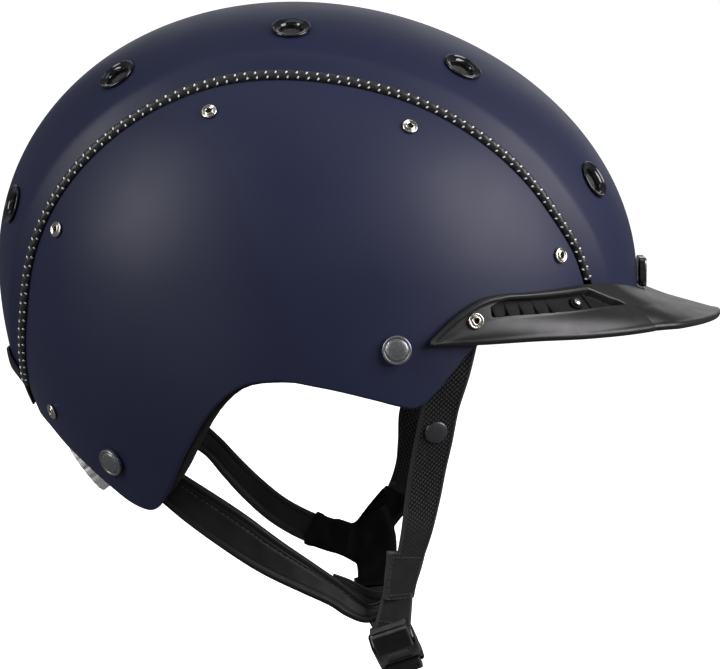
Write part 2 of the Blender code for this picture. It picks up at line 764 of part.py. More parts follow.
def vent(name, turn, angle):
    """A moulded vent: a flanged tube with its insect screen across it."""
    r, tube, bore = VENT_FLANGE_RADIUS, VENT_TUBE_RADIUS, VENT_BORE_RADIUS
    profile = [(0, -3.6), (bore, -3.6), (bore, 1.2), (6.2, 1.8), (r, 0.4), (tube, 0.4), (tube, -9.0),
               (0, -9.0)]
    return shade_round(turned(name, profile, vent_place(turn, angle), GLOSS_BLACK, 8))


# ---------------------------------------------------------------- visor
def visor_edge(azimuth):
    """The visor's upper edge, where its wall leans on the shell."""
    point = level_point(azimuth, hermite(VISOR_UPPER_EDGE, np.abs(azimuth)))
    return skin(point, VISOR_WALL + VISOR_CLEAR)


def visor_lip(azimuth):
    """The visor's free edge: close to the shell at the temples, and a long peak in front."""
    share = np.cos(np.radians(np.clip(np.abs(azimuth) * 90 / 70, 0, 90)))
    reach = VISOR_WALL + VISOR_CLEAR + 0.6 + VISOR_REACH * share ** 2.5
    height = hermite(VISOR_LIP, np.abs(azimuth))
    point = skin(level_point(azimuth, height))
    outward = unit(point * np.array([1, 1, 0]))
    lip = point + outward * reach[..., None]
    return np.stack([lip[..., 0], lip[..., 1], height], -1)


def visor_point(azimuth, share):
    """A point on the visor's outer face, before its recess is sunk."""
    azimuth = np.array([azimuth], float)
    edge, lip = visor_edge(azimuth)[0], visor_lip(azimuth)[0]
    return edge + (lip - edge) * share


def visor_normal(azimuth, share):
    """The way the visor's outer face looks at a point."""
    across = visor_point(azimuth + 1, share) - visor_point(azimuth - 1, share)
    down = visor_point(azimuth, share + 0.05) - visor_point(azimuth, share - 0.05)
    return unit(np.cross(down, across))


def visor_recess(azimuth):
    """How deep the side recess is: ribbed behind its screw, and flat round the screw."""
    start, end = VISOR_WINDOW
    within = (azimuth > start - 0.01) & (azimuth < end + 0.01)
    step = (end - start) / 9
    rib = (np.round((azimuth - start) / step).astype(int) % 2 == 1) & (azimuth > VISOR_SCREW[0] + 4)
    return np.where(within, np.where(rib, 0.5, VISOR_RECESS), 0.0)


def visor():
    window = np.linspace(*VISOR_WINDOW, 10)
    azimuth = np.concatenate([[-VISOR_SPAN, -60, -56], -window[::-1], np.linspace(-24, 24, 9), window,
                              [56, 60, VISOR_SPAN]])
    edge, lip = visor_edge(azimuth), visor_lip(azimuth)
    outward = dome_normal(level_point(azimuth, (edge[:, 2] + lip[:, 2]) / 2))
    depth = visor_recess(np.abs(azimuth))[:, None]
    above, top, bottom, below = VISOR_RECESS_SHARES
    grid = []
    for share, sunk in ((0, 0), (above, 0), (top, 1), (bottom, 1), (below, 0), (0.8, 0), (1, 0)):
        grid.append(edge + (lip - edge) * share - outward * depth * sunk)
    peak = solidify(grid_object("visor", np.array(grid), MATT_BLACK, flip=True), VISOR_WALL)
    holes = []
    for _, side in SIDES:
        holes.append(rod("screw_eye", EYELET_STEM_RADIUS, -9, 6, visor_screw_place(side), sides=8))
        holes.append(rod("eyelet_eye", EYELET_STEM_RADIUS + 0.5, -4, 6, visor_eyelet_place(side), sides=8))
    cut(peak, joined("visor_holes", holes, None))
    return shade_round(peak)


def badge():
    """A plain plate with a raised border on the forehead, above the peak."""
    seat = skin(np.array([[1.0, 0.0, 0.0]]))[0]
    place = frame_at((seat[0] + 0.6, 0, -0.2), (1, 0, 0), along=(0, 1, 0))
    plate = block("front_badge", (-12, -6.0, 0), (12, 6.0, 3.0), place, GUNMETAL, bevel=0.5)
    return cut(plate, block("badge_face", (-10.8, -4.8, 2.4), (10.8, 4.8, 5.0), place))


# ---------------------------------------------------------------- lining
def headband_pad():
    """The sewn headband of the lining, from behind one ear round the forehead to the other."""
    end = HEADBAND_LOW[-1][0]
    azimuth = np.linspace(-end, end, 33)
    away = np.abs(azimuth)
    bottom = level_point(azimuth, hermite(HEADBAND_LOW, away))
    top = level_point(azimuth, hermite(HEADBAND_HIGH, away))
    inset = hermite(HEADBAND_INSET, away)
    grid = np.stack([lining_point(slerp(top, bottom, t), inset) for t in np.linspace(0, 1, 4)])
    return shade_round(solidify(grid_object("headband_pad", grid, FABRIC, flip=True), HEADBAND_THICK))


def crown_pad():
    """The soft disc inside the crown."""
    turns = np.radians(np.linspace(0, 360, 16, endpoint=False))
    vertices = [lining_point(np.array([[-0.08, 0.0, 1.0]]), CROWN_PAD_INSET)[0]]
    for tilt in np.radians((78, 66, 54)):
        ring = np.stack([np.cos(turns) * np.cos(tilt) - 0.08, np.sin(turns) * np.cos(tilt) * 0.9,
                         np.full(16, np.sin(tilt))], -1)
        vertices += list(lining_point(ring, CROWN_PAD_INSET))
    faces = [(0, 1 + k, 1 + (k + 1) % 16) for k in range(16)]
    for a in (1, 17):
        faces += [(a + k, a + 16 + k, a + 16 + (k + 1) % 16, a + (k + 1) % 16) for k in range(16)]
    return shade_round(solidify(mesh_object("crown_pad", vertices, faces, FABRIC), CROWN_PAD_THICK))


# ---------------------------------------------------------------- nape fitting
DIAL_AXIS = Vector((-math.cos(DIAL_TILT), 0, -math.sin(DIAL_TILT)))
BAND_AXIS = Vector((-math.sin(DIAL_TILT), 0, math.cos(DIAL_TILT)))
BAND_CENTRE = BAND_MIDDLE - DIAL_AXIS * BAND_RADIUS


def band_point(degrees, radius, rise=0.0):
    """A point on the bands' circle, by its angle from the middle of the nape."""
    turn = math.radians(degrees)
    spoke = DIAL_AXIS * math.cos(turn) + Vector((0, 1, 0)) * math.sin(turn)
    return np.array(BAND_CENTRE + spoke * radius + BAND_AXIS * rise)


def band_spoke(degrees):
    turn = math.radians(degrees)
    return np.array(DIAL_AXIS * math.cos(turn) + Vector((0, 1, 0)) * math.sin(turn))


def yoke_arm():
    """Points down the left arm of the yoke, from its pivot to the toothed bands' circle."""
    azimuth = np.array([70.5, 84, 100, 116])
    height = np.array([PIVOT_Z, -25.5, -30, -40.0])
    arm = lining_point(level_point(azimuth, height), 3.2)
    arm[0] = (PIVOT_X, arm[0][1], PIVOT_Z)
    return arm


def cradle_yoke():
    """The flexible yoke round the nape, with the dial's housing moulded on it.

    It hangs on a pivot over each temple."""
    arm = yoke_arm()
    outward = unit(arm * np.array([0.15, 1, 0]))
    outward[-1] = unit((-0.35, 0.94, 0.0))
    middle = np.arange(-64, 65, 16)
    points = [*mirrored(arm, -1), *[band_point(d, BAND_RADIUS + YOKE_GAP) for d in middle], *arm[::-1]]
    normals = [*mirrored(outward, -1), *[band_spoke(d) for d in middle], *outward[::-1]]
    yoke = ribbon("yoke_strip", points, normals, YOKE_WIDTH, YOKE_THICK, MATT_BLACK)
    housing = rod("housing", HOUSING_RADIUS, *HOUSING_RISE, dial_place(), sides=20)
    yoke = united("cradle_yoke", [yoke, housing], MATT_BLACK)
    holes = [rod("pivot_eye", PIVOT_STEM_RADIUS + 0.5, -6, 6,
                 frame_at((PIVOT_X, arm[0][1] * side, PIVOT_Z), (0, side, 0)), sides=12)
             for _, side in SIDES]
    holes.append(rod("spindle_eye", SPINDLE_RADIUS + 0.8, -6, 12, dial_place(), sides=12))
    return cut(yoke, joined("yoke_holes", holes, None))


def dial_place():
    return frame_at(band_point(0, BAND_RADIUS), DIAL_AXIS, along=(0, 1, 0))


def toothed(name, teeth, root, tip, low, high, place, mat):
    """A toothed disc: a star outline with a thickness. One tooth points along the place's Y."""
    outline = []
    for k in range(teeth):
        for part, radius in ((-0.5, root), (-0.35, root), (-0.2, tip), (0.2, tip), (0.35, root)):
            turn = math.pi / 2 + 2 * math.pi * (k + part) / teeth
            outline.append((radius * math.cos(turn), radius * math.sin(turn)))
    curve = bpy.data.curves.new(name, "CURVE")
    curve.dimensions = "2D"
    curve.fill_mode = "BOTH"
    curve.extrude = (high - low) / 2 * MM
    run = curve.splines.new("POLY")
    run.points.add(len(outline) - 1)
    for point, (x, y) in zip(run.points, outline):
        point.co = (x * MM, y * MM, 0, 1)
    run.use_cyclic_u = True
    obj = bpy.data.objects.new(name, curve)
    PARTS.objects.link(obj)
    obj.matrix_world = place @ Matrix.Translation((0, 0, (low + high) / 2 * MM))
    bpy.context.view_layer.update()
    mesh = evaluated_mesh(obj)
    bpy.data.objects.remove(obj, do_unlink=True)
    work = bmesh.new()
    work.from_mesh(mesh)
    bmesh.ops.remove_doubles(work, verts=work.verts, dist=0.00001)
    bmesh.ops.recalc_face_normals(work, faces=work.faces)
    work.to_mesh(mesh)
    work.free()
    mesh.name = name
    made = bpy.data.objects.new(name, mesh)
    mesh.materials.clear()
    mesh.materials.append(mat)
    PARTS.objects.link(made)
    return made


def dial_knob(place):
    """The hand wheel, with finger notches round its edge."""
    return toothed("dial_knob", DIAL_NOTCHES, DIAL_RADIUS - 0.8, DIAL_RADIUS, *DIAL_RISE, place, FROSTED)


def dial_pinion(place):
    """The small gear between the two toothed bands, with the spindle that carries the wheel."""
    gear = toothed("gear", PINION_TEETH, PINION_RADIUS - 0.75, PINION_RADIUS + 0.4, -1.6, 1.6, place,
                   MATT_BLACK)
    spindle = rod("spindle", SPINDLE_RADIUS, -1.6, DIAL_RISE[0] - 0.3, place, sides=12)
    return united("dial_pinion", [gear, spindle], MATT_BLACK)


def toothed_band(word, side):
    """Half of the headband: a curved strip whose toothed tail runs past the pinion."""
    rise = PINION_RADIUS + 2.3
    stations = np.linspace(*RACK_SPAN, 15)
    points = [band_point(side * d, BAND_RADIUS, side * rise) for d in stations]
    spokes = [band_spoke(side * d) for d in stations]
    strip = ribbon("strip", points, spokes, RACK_WIDTH, RACK_THICK, MATT_BLACK)
    pieces = [strip]
    pitch = math.degrees(2 * math.pi * PINION_RADIUS / PINION_TEETH / BAND_RADIUS)
    for k in range(-3, 8):
        degrees = side * (k + 0.5) * pitch
        place = frame_at(band_point(degrees, BAND_RADIUS, side * PINION_RADIUS), band_spoke(degrees),
                         along=BAND_AXIS * side)
        pieces.append(block(f"tooth_{k}", (-0.35, -0.42, -0.6), (1.5, 0.42, 0.6), place))
    return united(f"rack_band_{word}", pieces, MATT_BLACK)


def nape_pad():
    """A soft pad on the rider's side of the cradle."""
    degrees = np.linspace(-34, 34, 9)
    points = [band_point(d, BAND_RADIUS - 5.0) for d in degrees]
    spokes = [band_spoke(d) for d in degrees]
    return ribbon("nape_pad", points, spokes, NAPE_PAD_WIDTH, NAPE_PAD_THICK, FABRIC)


# ---------------------------------------------------------------- chin straps
def front_tab_ends(side):
    """The fixed end of the front strap, in the foam, from its screw to the shell's edge."""
    screw = visor_eyelet_place(side).translation / MM
    inward = visor_eyelet_place(side).to_3x3() @ Vector((0, 0, -10.2))
    start = Vector(screw) + inward
    exit_point = Vector(mirrored(FRONT_EXIT, side))
    return start, exit_point


def rear_tab_ends(side):
    place = rear_cap_place(side)
    start = place.translation / MM + place.to_3x3() @ Vector((0, 0, -10.4))
    return start, Vector(mirrored(REAR_EXIT, side))


def tab_place(ends):
    """A placement at the tab's screw end: X runs down the strap and Z faces out."""
    start, end = ends
    run = (end - start).normalized()
    outward = Vector((start.x * 0.3, start.y, 0)).normalized()
    across = outward.cross(run).normalized()
    face = run.cross(across)
    turn = Matrix((run, across, face)).transposed()
    return Matrix.Translation(start * MM) @ turn.to_4x4()


def strap_slot(name, ends):
    """The pocket in the foam that a strap's fixed end lies in."""
    length = (ends[1] - ends[0]).length
    return block(name, (-7.5, -9.6, -2.2), (length + 16, 9.6, 2.0), tab_place(ends))


def strap_tab(name, ends, gap):
    length = (ends[1] - ends[0]).length
    half = WEB_WIDTH / 2
    return block(name, (-6, -half, -1.0), (length - gap, half, 1.0), tab_place(ends), WEBBING)


def junction(word, side):
    """Where front and rear strap meet, beside the jaw."""
    return np.array([JUNCTION_X[word], 62.0 * side, -129.5])


def front_strap_points(word, side):
    end = junction(word, side)
    return [*(mirrored(point, side) for point in FRONT_WAY),
            end + mirrored((2.5, 3.5, 14.5), side), end + mirrored((0, 1.4, 2), side)]


def rear_strap_points(word, side):
    shift = JUNCTION_X[word] - JUNCTION_X["right"]
    last = len(REAR_WAY) - 1
    return [mirrored((x + shift * k / last, y, z), side) for k, (x, y, z) in enumerate(REAR_WAY)]


def front_strap(word, side):
    """The webbing from the temple down past the jaw, and on the right on to the buckle."""
    way = front_strap_points(word, side)
    if word == "right":
        pull = buckle_axes()[0]
        way += [np.array(BUCKLE_CENTRE - pull * 27.0), np.array(BUCKLE_CENTRE - pull * 22.8)]
    count = 12 if word == "left" else 20
    web = spline(way, count)
    lean_in = np.linspace(0, 1, count)
    facing = np.stack([0.25 - 0.2 * lean_in, 1 + 0 * lean_in, -0.15 * lean_in], -1)
    return web, ribbon(f"front_strap_{word}", web, mirrored(facing, side), WEB_WIDTH, WEB_THICK, WEBBING)


def rear_strap(word, side):
    """The folded leather strap from the nape, which ends behind the front strap."""
    strip = spline(rear_strap_points(word, side), 12)
    share = np.linspace(0, 1, 12)
    facing = np.stack([-0.35 + 0.6 * share, 1 + 0 * share, -0.1 * share], -1)
    return ribbon(f"rear_strap_{word}", strip, mirrored(facing, side),
                  np.linspace(LEATHER_WIDTH, CHIN_WIDTH, 12), LEATHER_THICK, LEATHER)


def strap_stud(word, side, web):
    """The press stud on the front strap."""
    drop = np.linalg.norm(web - web[0], axis=1)
    seat = np.stack([np.interp(STUD_DROP, drop, web[:, k]) for k in range(3)])
    after = np.searchsorted(drop, STUD_DROP)
    along = unit(web[after] - web[after - 1])
    normal = np.cross(unit(np.cross(along, mirrored((0.2, 1, 0), side))), along)
    normal = normal * (1 if normal[1] * side > 0 else -1)
    place = frame_at(seat + normal * (WEB_THICK / 2 + GAP), normal)
    profile = [(0, 1.5), (3.2, 1.1), (4.6, 0.2), (4.4, 0), (0, 0)]
    return shade_round(turned(f"strap_stud_{word}", profile, place, GUNMETAL, steps=12))


def hinge_line(side):
    """The line that a side's straps swing on, through both places where they leave the shell."""
    front, rear = Vector(mirrored(FRONT_EXIT, side)), Vector(mirrored(REAR_EXIT, side))
    return front, (front - rear).normalized()


def buckle_axes():
    """Pull-out direction of the clip, width direction, and outward face of the buckle.

    The clip leaves its socket as both sides' straps swing outwards by the same angle, so its
    axis is the way the two halves part at that motion's start."""
    parting = Vector((0, 0, 0))
    for _, side in SIDES:
        point, direction = hinge_line(side)
        parting += direction.cross(BUCKLE_CENTRE - point)
    pull = parting.normalized()
    _, right = hinge_line(-1)
    _, left = hinge_line(1)
    across = (right + left).normalized()
    return pull, across, pull.cross(across)


def buckle_place():
    """X runs the way the clip pulls out, Y across the strap, and Z out of the buckle's face."""
    pull, across, _ = buckle_axes()
    face = pull.cross(across)
    turn = Matrix((pull, across, face)).transposed()
    return Matrix.Translation(BUCKLE_CENTRE * MM) @ turn.to_4x4()


def buckle_block(name, low, high, mat=None, bevel=0.0):
    """A block of the buckle, drawn for a buckle of the drawn width and narrowed to the real one."""
    narrow = BUCKLE_WIDTH / BUCKLE_DRAWN_WIDTH
    low, high = (low[0], low[1] * narrow, low[2]), (high[0], high[1] * narrow, high[2])
    return block(name, low, high, buckle_place(), mat, bevel)


def buckle_socket():
    w, t = BUCKLE_DRAWN_WIDTH / 2, BUCKLE_THICK / 2
    body = buckle_block("buckle_socket", (-22, -w, -t), (2, w, t), GLOSS_BLACK, bevel=1.2)
    cut(body, buckle_block("socket_hollow", (-15.5, -w + 2.1, -t + 1.6), (6, w - 2.1, t - 1.6)))
    cut(body, buckle_block("socket_windows", (-12, -w - 3, -2.0), (-2.5, w + 3, 2.0)))
    cut(body, buckle_block("socket_slot", (-20.5, -10, -t - 2), (-17.6, 10, t + 2)))
    return body


def buckle_clip():
    w = BUCKLE_DRAWN_WIDTH / 2
    base = buckle_block("clip_base", (2.6, -w, -3.0), (14.0, w, 3.0), GLOSS_BLACK)
    guide = buckle_block("clip_guide", (-13.5, -3.2, -1.5), (4.0, 3.2, 1.5))
    body = united("buckle_clip", [base, guide], GLOSS_BLACK)
    cut(body, buckle_block("clip_slot", (8.0, -10, -6), (11.5, 10, 6)))
    roots = buckle_block("prong_seats", (1.0, -w - 2, -2.2), (5.2, w + 2, 2.2))
    cut(roots, buckle_block("seat_keep", (0.0, -4.2, -3), (6.0, 4.2, 3)))
    bpy.context.view_layer.update()
    cut(body, mesh_from("prong_seat_tool", roots, None))
    return body


def buckle_prong(word, sign):
    """A springy arm of the clip, which turns about its root in the clip's base."""
    lead = buckle_block("lead", (-12.8, 6.4, -1.5), (4.7, 9.0, 1.5))
    knob = buckle_block("knob", (-9.5, 8.0, -1.5), (-4.0, 9.9, 1.5))
    if sign < 0:
        for piece in (lead, knob):
            piece.data.transform(Matrix.Diagonal((1, -1, 1, 1)))
            piece.data.flip_normals()
    return united(f"buckle_prong_{word}", [lead, knob], GLOSS_BLACK)


def chin_strap():
    """The strap under the chin, from the left-hand straps to the clip."""
    pull, _, face = buckle_axes()
    start = Vector(junction("left", 1)) + Vector((0.5, 1.2, -2.0))
    end = BUCKLE_CENTRE + pull * 14.6
    way = [tuple(start), tuple(start + Vector((1.0, -3.5, -13.0))), (31.5, 38.0, -153.5),
           (34.5, 14.0, -160.0), tuple(end + pull * 14.0 + face * 0.4), tuple(end)]
    points = spline(way, 18)
    count = len(points)
    hang = np.linspace(0, 1, count)
    normals = np.stack([0 * hang, np.cos(hang * math.pi * 0.56), -np.sin(hang * math.pi * 0.56)], -1)
    return ribbon("chin_strap", points, normals, CHIN_WIDTH, CHIN_THICK, WEBBING)


# ---------------------------------------------------------------- assembly
def hang_on_axis(name, point, direction, children):
    """An empty on a joint's axis, with its Z along it, that carries the pieces that move on it."""
    axis = bpy.data.objects.new(name, None)
    axis.empty_display_size = 0.02
    PARTS.objects.link(axis)
    axis.matrix_world = frame_at(point, direction, along=(0.3, 0.5, 0.8))
    for child in children:
        piece = bpy.data.objects[child]
        piece.parent = axis
        piece.matrix_parent_inverse = axis.matrix_world.inverted()


def hang_moving_pieces():
    hang_on_axis("cradle_axis", (PIVOT_X, 0, PIVOT_Z), (0, 1, 0), ["cradle_yoke", "nape_pad"])
    hang_on_axis("dial_axis", band_point(0, BAND_RADIUS), DIAL_AXIS, ["dial_knob", "dial_pinion"])
    for word, side in SIDES:
        hang_on_axis(f"band_axis_{word}", BAND_CENTRE, BAND_AXIS, [f"rack_band_{word}"])
        point, direction = hinge_line(side)
        straps = [f"front_strap_{word}", f"rear_strap_{word}", f"strap_stud_{word}"]
        straps += ["buckle_socket"] if word == "right" else ["chin_strap", "buckle_clip"]
        hang_on_axis(f"strap_axis_{word}", point, direction, straps)
    for word, sign in (("front", 1), ("rear", -1)):
        root = buckle_place() @ Vector((3.2 * MM, PRONG_ROOT * MM * sign, 0))
        hang_on_axis(f"prong_axis_{word}", root / MM, buckle_axes()[2], [f"buckle_prong_{word}"])


def build():
    centre_shell()
    foam_liner()
    for word, side in SIDES:
        side_shell(word, side)
        for name, place in eyelet_places(side).items():
            eyelet(f"eyelet_{name}_{word}", place)
        strap_screw(word, side)
        visor_screw(word, side)
        cap(f"pivot_cap_{word}", front_cap_place(side), stem=21.0, lift=1.0)
        cap(f"rear_cap_{word}", rear_cap_place(side), stem=7.4, lift=0.45)
        trim_cord(word, side)
        strap_tab(f"front_tab_{word}", front_tab_ends(side), FRONT_TAB_GAP)
        strap_tab(f"rear_tab_{word}", rear_tab_ends(side), REAR_TAB_GAP)
        toothed_band(word, side)
        web, _ = front_strap(word, side)
        rear_strap(word, side)
        strap_stud(word, side, web)
        for name, (turn, angle) in VENTS.items():
            vent(f"vent_{name}_{word}", turn, angle * side)
    rear_trim_plate()
    visor()
    badge()
    headband_pad()
    crown_pad()
    cradle_yoke()
    dial_knob(dial_place())
    dial_pinion(dial_place())
    nape_pad()
    buckle_socket()
    buckle_clip()
    buckle_prong("front", 1)
    buckle_prong("rear", -1)
    chin_strap()
    bpy.context.view_layer.update()
    hang_moving_pieces()


build()
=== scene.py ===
"""Looks of the riding helmet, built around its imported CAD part.

The frame is the part's: +X ahead of the rider, -Y the rider's right, +Z up, the origin inside the head.
Points and lengths in this file are in millimetres; meshes are made in metres.
"""

import math

import bmesh
import bpy
import numpy as np
from mathutils import Matrix, Vector


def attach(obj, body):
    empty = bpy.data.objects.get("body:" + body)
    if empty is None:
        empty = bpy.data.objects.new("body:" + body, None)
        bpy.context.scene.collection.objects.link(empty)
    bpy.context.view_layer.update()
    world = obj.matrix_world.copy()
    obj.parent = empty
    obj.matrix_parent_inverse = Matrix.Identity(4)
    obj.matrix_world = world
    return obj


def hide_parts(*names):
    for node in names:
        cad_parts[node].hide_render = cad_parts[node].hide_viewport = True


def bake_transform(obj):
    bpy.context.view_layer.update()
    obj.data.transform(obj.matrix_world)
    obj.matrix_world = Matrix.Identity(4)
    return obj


MM = 0.001
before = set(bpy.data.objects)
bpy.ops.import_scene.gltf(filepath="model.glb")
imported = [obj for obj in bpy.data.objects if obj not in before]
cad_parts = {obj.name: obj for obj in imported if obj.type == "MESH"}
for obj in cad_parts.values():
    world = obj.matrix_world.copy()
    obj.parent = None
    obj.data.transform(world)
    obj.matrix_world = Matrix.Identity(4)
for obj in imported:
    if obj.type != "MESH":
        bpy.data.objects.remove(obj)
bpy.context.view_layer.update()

# ---------------------------------------------------------------- the part's own dimensions
HALF_LENGTH, HALF_WIDTH, CROWN_HEIGHT = 129.5, 106.0, 108.5
DROP_FORE_AFT, DROP_SIDEWAYS = 145.0, 190.0
LEAN, LEAN_CROWN = 0.045, 0.00043
SHELL_WALL = 2.4
BAND_RAISE, BAND_FLANK = 3.0, 8.0
GROOVE_HALF = 2.7
FOAM_GAP, FOAM_CROWN, FOAM_RIM = 1.6, 20.5, 11.0
FOAM_RIM_LIFT, FOAM_NAPE_LIFT = 1.5, 8.0
RIM = [(0, -20), (28, -20.5), (46, -21.8), (54, -22.5), (57.5, -26.8), (61, -34.5), (65, -42.8),
       (67, -46.2), (69.5, -48.3), (72, -47.6), (78, -44.7), (90, -39.5), (100, -37), (108, -40),
       (115, -50), (122, -66), (129, -82), (136, -92), (143, -91), (150, -83), (156, -75), (161, -69),
       (166, -62.5), (172, -58.8), (180, -57.5)]
SPLIT = [(-10, 24.5), (5, 29.5), (20, 34.5), (50, 39.5), (85, 41), (120, 36.5), (150, 30.5),
         (180, 21), (191, 15.5), (199.5, 8), (202.5, 0)]
VENTS = {"front": (19, 18), "upper_front": (55, 24), "crown": (96, 25), "upper_rear": (135, 20),
         "rear": (167, 13)}
EYELETS = {"rear": (169, 30), "upper_rear": (122, 44), "upper_front": (59, 48), "front": (6, 35)}
NAPE_EYELET = (160, -55)
PIVOT_X, PIVOT_Z = 32.0, -25.0
REAR_CAP = (-82.0, -73.0)
VISOR_SPAN, VISOR_WALL, VISOR_CLEAR, VISOR_REACH = 66.2, 2.2, 0.8, 31.0
VISOR_UPPER_EDGE = [(0, -7.4), (7, -7.0), (12, -5.4), (23, -2.6), (30, -2.0), (37, -2.9), (45, -3.8),
                    (50, -4.1), (54.5, -5.8), (60, -11.5), (66.2, -21.5)]
VISOR_LIP = [(0, -15.8), (12, -17.5), (23, -19.1), (30, -20.4), (37, -21.3), (45, -21.8), (55, -22.9),
             (66.2, -23.6)]
VISOR_EYELET, VISOR_SCREW, VISOR_RECESS = (57.0, 0.4), (34.3, 0.28), 1.5
FRONT_EXIT, REAR_EXIT = (52.0, 84.5, -49.0), (-54.0, 63.0, -84.5)
WEB_THICK = 2.0
BUCKLE_CENTRE = np.array((33.0, -43.5, -153.0))
BUCKLE_WIDTH, BUCKLE_DRAWN_WIDTH, BUCKLE_THICK = 21.5, 25.0, 8.6
STUD_SHIFT = np.array((-2.6, 0.0, -12.0))
SLOT_DEPTH = 2.9
PLATE_SPAN, PLATE_REACH = (194.0, 205.0), [5.9, 5.9, 5.65, 4.6, 2.8]
DIAL_TILT = math.radians(36.87)
BAND_RADIUS = 56.0
BAND_MIDDLE = np.array((-86.0, 0.0, -74.0))
SIDES = {"right": -1, "left": 1}
VENT_HOLE = 6.1


# ---------------------------------------------------------------- camera, light and floor
CAMERA_DISTANCE, CAMERA_ELEVATION, CAMERA_LENS = 1.8, 4.5, 216.0
TARGET = Vector((0.0175, 0.0, -0.0269))
FLOOR_LEVEL = -0.19


def aim(obj, place, target):
    obj.location = place
    obj.rotation_mode = "QUATERNION"
    obj.rotation_quaternion = (Vector(target) - Vector(place)).to_track_quat("-Z", "Y")


def add_camera():
    data = bpy.data.cameras.new("camera")
    data.lens, data.sensor_width = CAMERA_LENS, 36.0
    camera = bpy.data.objects.new("camera", data)
    bpy.context.scene.collection.objects.link(camera)
    rise = math.radians(CAMERA_ELEVATION)
    back = Vector((0.0, -math.cos(rise), math.sin(rise)))
    aim(camera, TARGET + back * CAMERA_DISTANCE, TARGET)
    bpy.context.scene.camera = camera


def add_softbox(name, direction, distance, size, power, colour):
    data = bpy.data.lights.new(name, "AREA")
    data.shape, data.size, data.size_y = "RECTANGLE", size[0], size[1]
    data.energy, data.color = power, colour
    light = bpy.data.objects.new(name, data)
    bpy.context.scene.collection.objects.link(light)
    aim(light, TARGET + Vector(direction).normalized() * distance, TARGET)


# Each softbox: direction from the helmet, distance in metres, width and height, power, colour.
SOFTBOXES = {
    "key": ((0.8, -0.40, 0.42), 1.3, (0.9, 1.0), 20.5, (1.0, 0.97, 1.0)),
    "top": ((-0.1, -0.15, 1.0), 1.4, (1.3, 0.6), 2.0, (0.8, 0.93, 1.0)),
    "rear": ((-0.86, -0.50, 0.42), 1.4, (0.5, 1.0), 10.5, (1, 1, 1)),
    "far": ((0.1, 1.0, 0.45), 1.6, (1.4, 1.0), 3.5, (1, 1, 1)),
    "low": ((-0.5, -0.8, -0.1), 1.2, (0.08, 0.7), 0.6, (1, 1, 1))}
WORLD_COLOUR, WORLD_STRENGTH = (0.93, 0.95, 1.0, 1.0), 0.13


def add_studio():
    for name, settings in SOFTBOXES.items():
        add_softbox(name, *settings)
    world = bpy.data.worlds.new("studio")
    world.use_nodes = True
    back = world.node_tree.nodes["Background"]
    back.inputs["Color"].default_value = WORLD_COLOUR
    back.inputs["Strength"].default_value = WORLD_STRENGTH
    bpy.context.scene.world = world
    bpy.context.scene.view_settings.view_transform = "Standard"


BACKDROP_WIDE, BACKDROP_HIGH = 30.0, 12.0
SWEEP_START, SWEEP_RADIUS = 3.0, 1.5


def add_backdrop():
    """A pale sheet that sweeps up behind the helmet and right over it. It lights nothing."""
    sweep = [(SWEEP_START + SWEEP_RADIUS * math.sin(a), FLOOR_LEVEL + SWEEP_RADIUS * (1 - math.cos(a)))
             for a in np.linspace(0, math.pi / 2, 13)[1:]]
    profile = [(-BACKDROP_WIDE, FLOOR_LEVEL), (SWEEP_START, FLOOR_LEVEL), *sweep,
               (SWEEP_START + SWEEP_RADIUS, BACKDROP_HIGH)]
    points = [(x, y, z) for y, z in profile for x in (-BACKDROP_WIDE, BACKDROP_WIDE)]
    faces = [(2 * k, 2 * k + 1, 2 * k + 3, 2 * k + 2) for k in range(len(profile) - 1)]
    backdrop = new_object("backdrop", (points, faces), 1.0)
    backdrop.data.shade_smooth()
    white = Finish("backdrop", 0.9, 1.0, Specular_IOR_Level=0.0, Emission_Color=rgba(1.0),
                   Emission_Strength=1.0)
    backdrop.data.materials.append(white.material)
    backdrop.visible_diffuse = backdrop.visible_glossy = backdrop.visible_transmission = False


# ---------------------------------------------------------------- materials
def rgba(colour):
    """A colour with its alpha. A single number means a grey."""
    return (*colour, 1.0) if isinstance(colour, tuple) else (colour, colour, colour, 1.0)


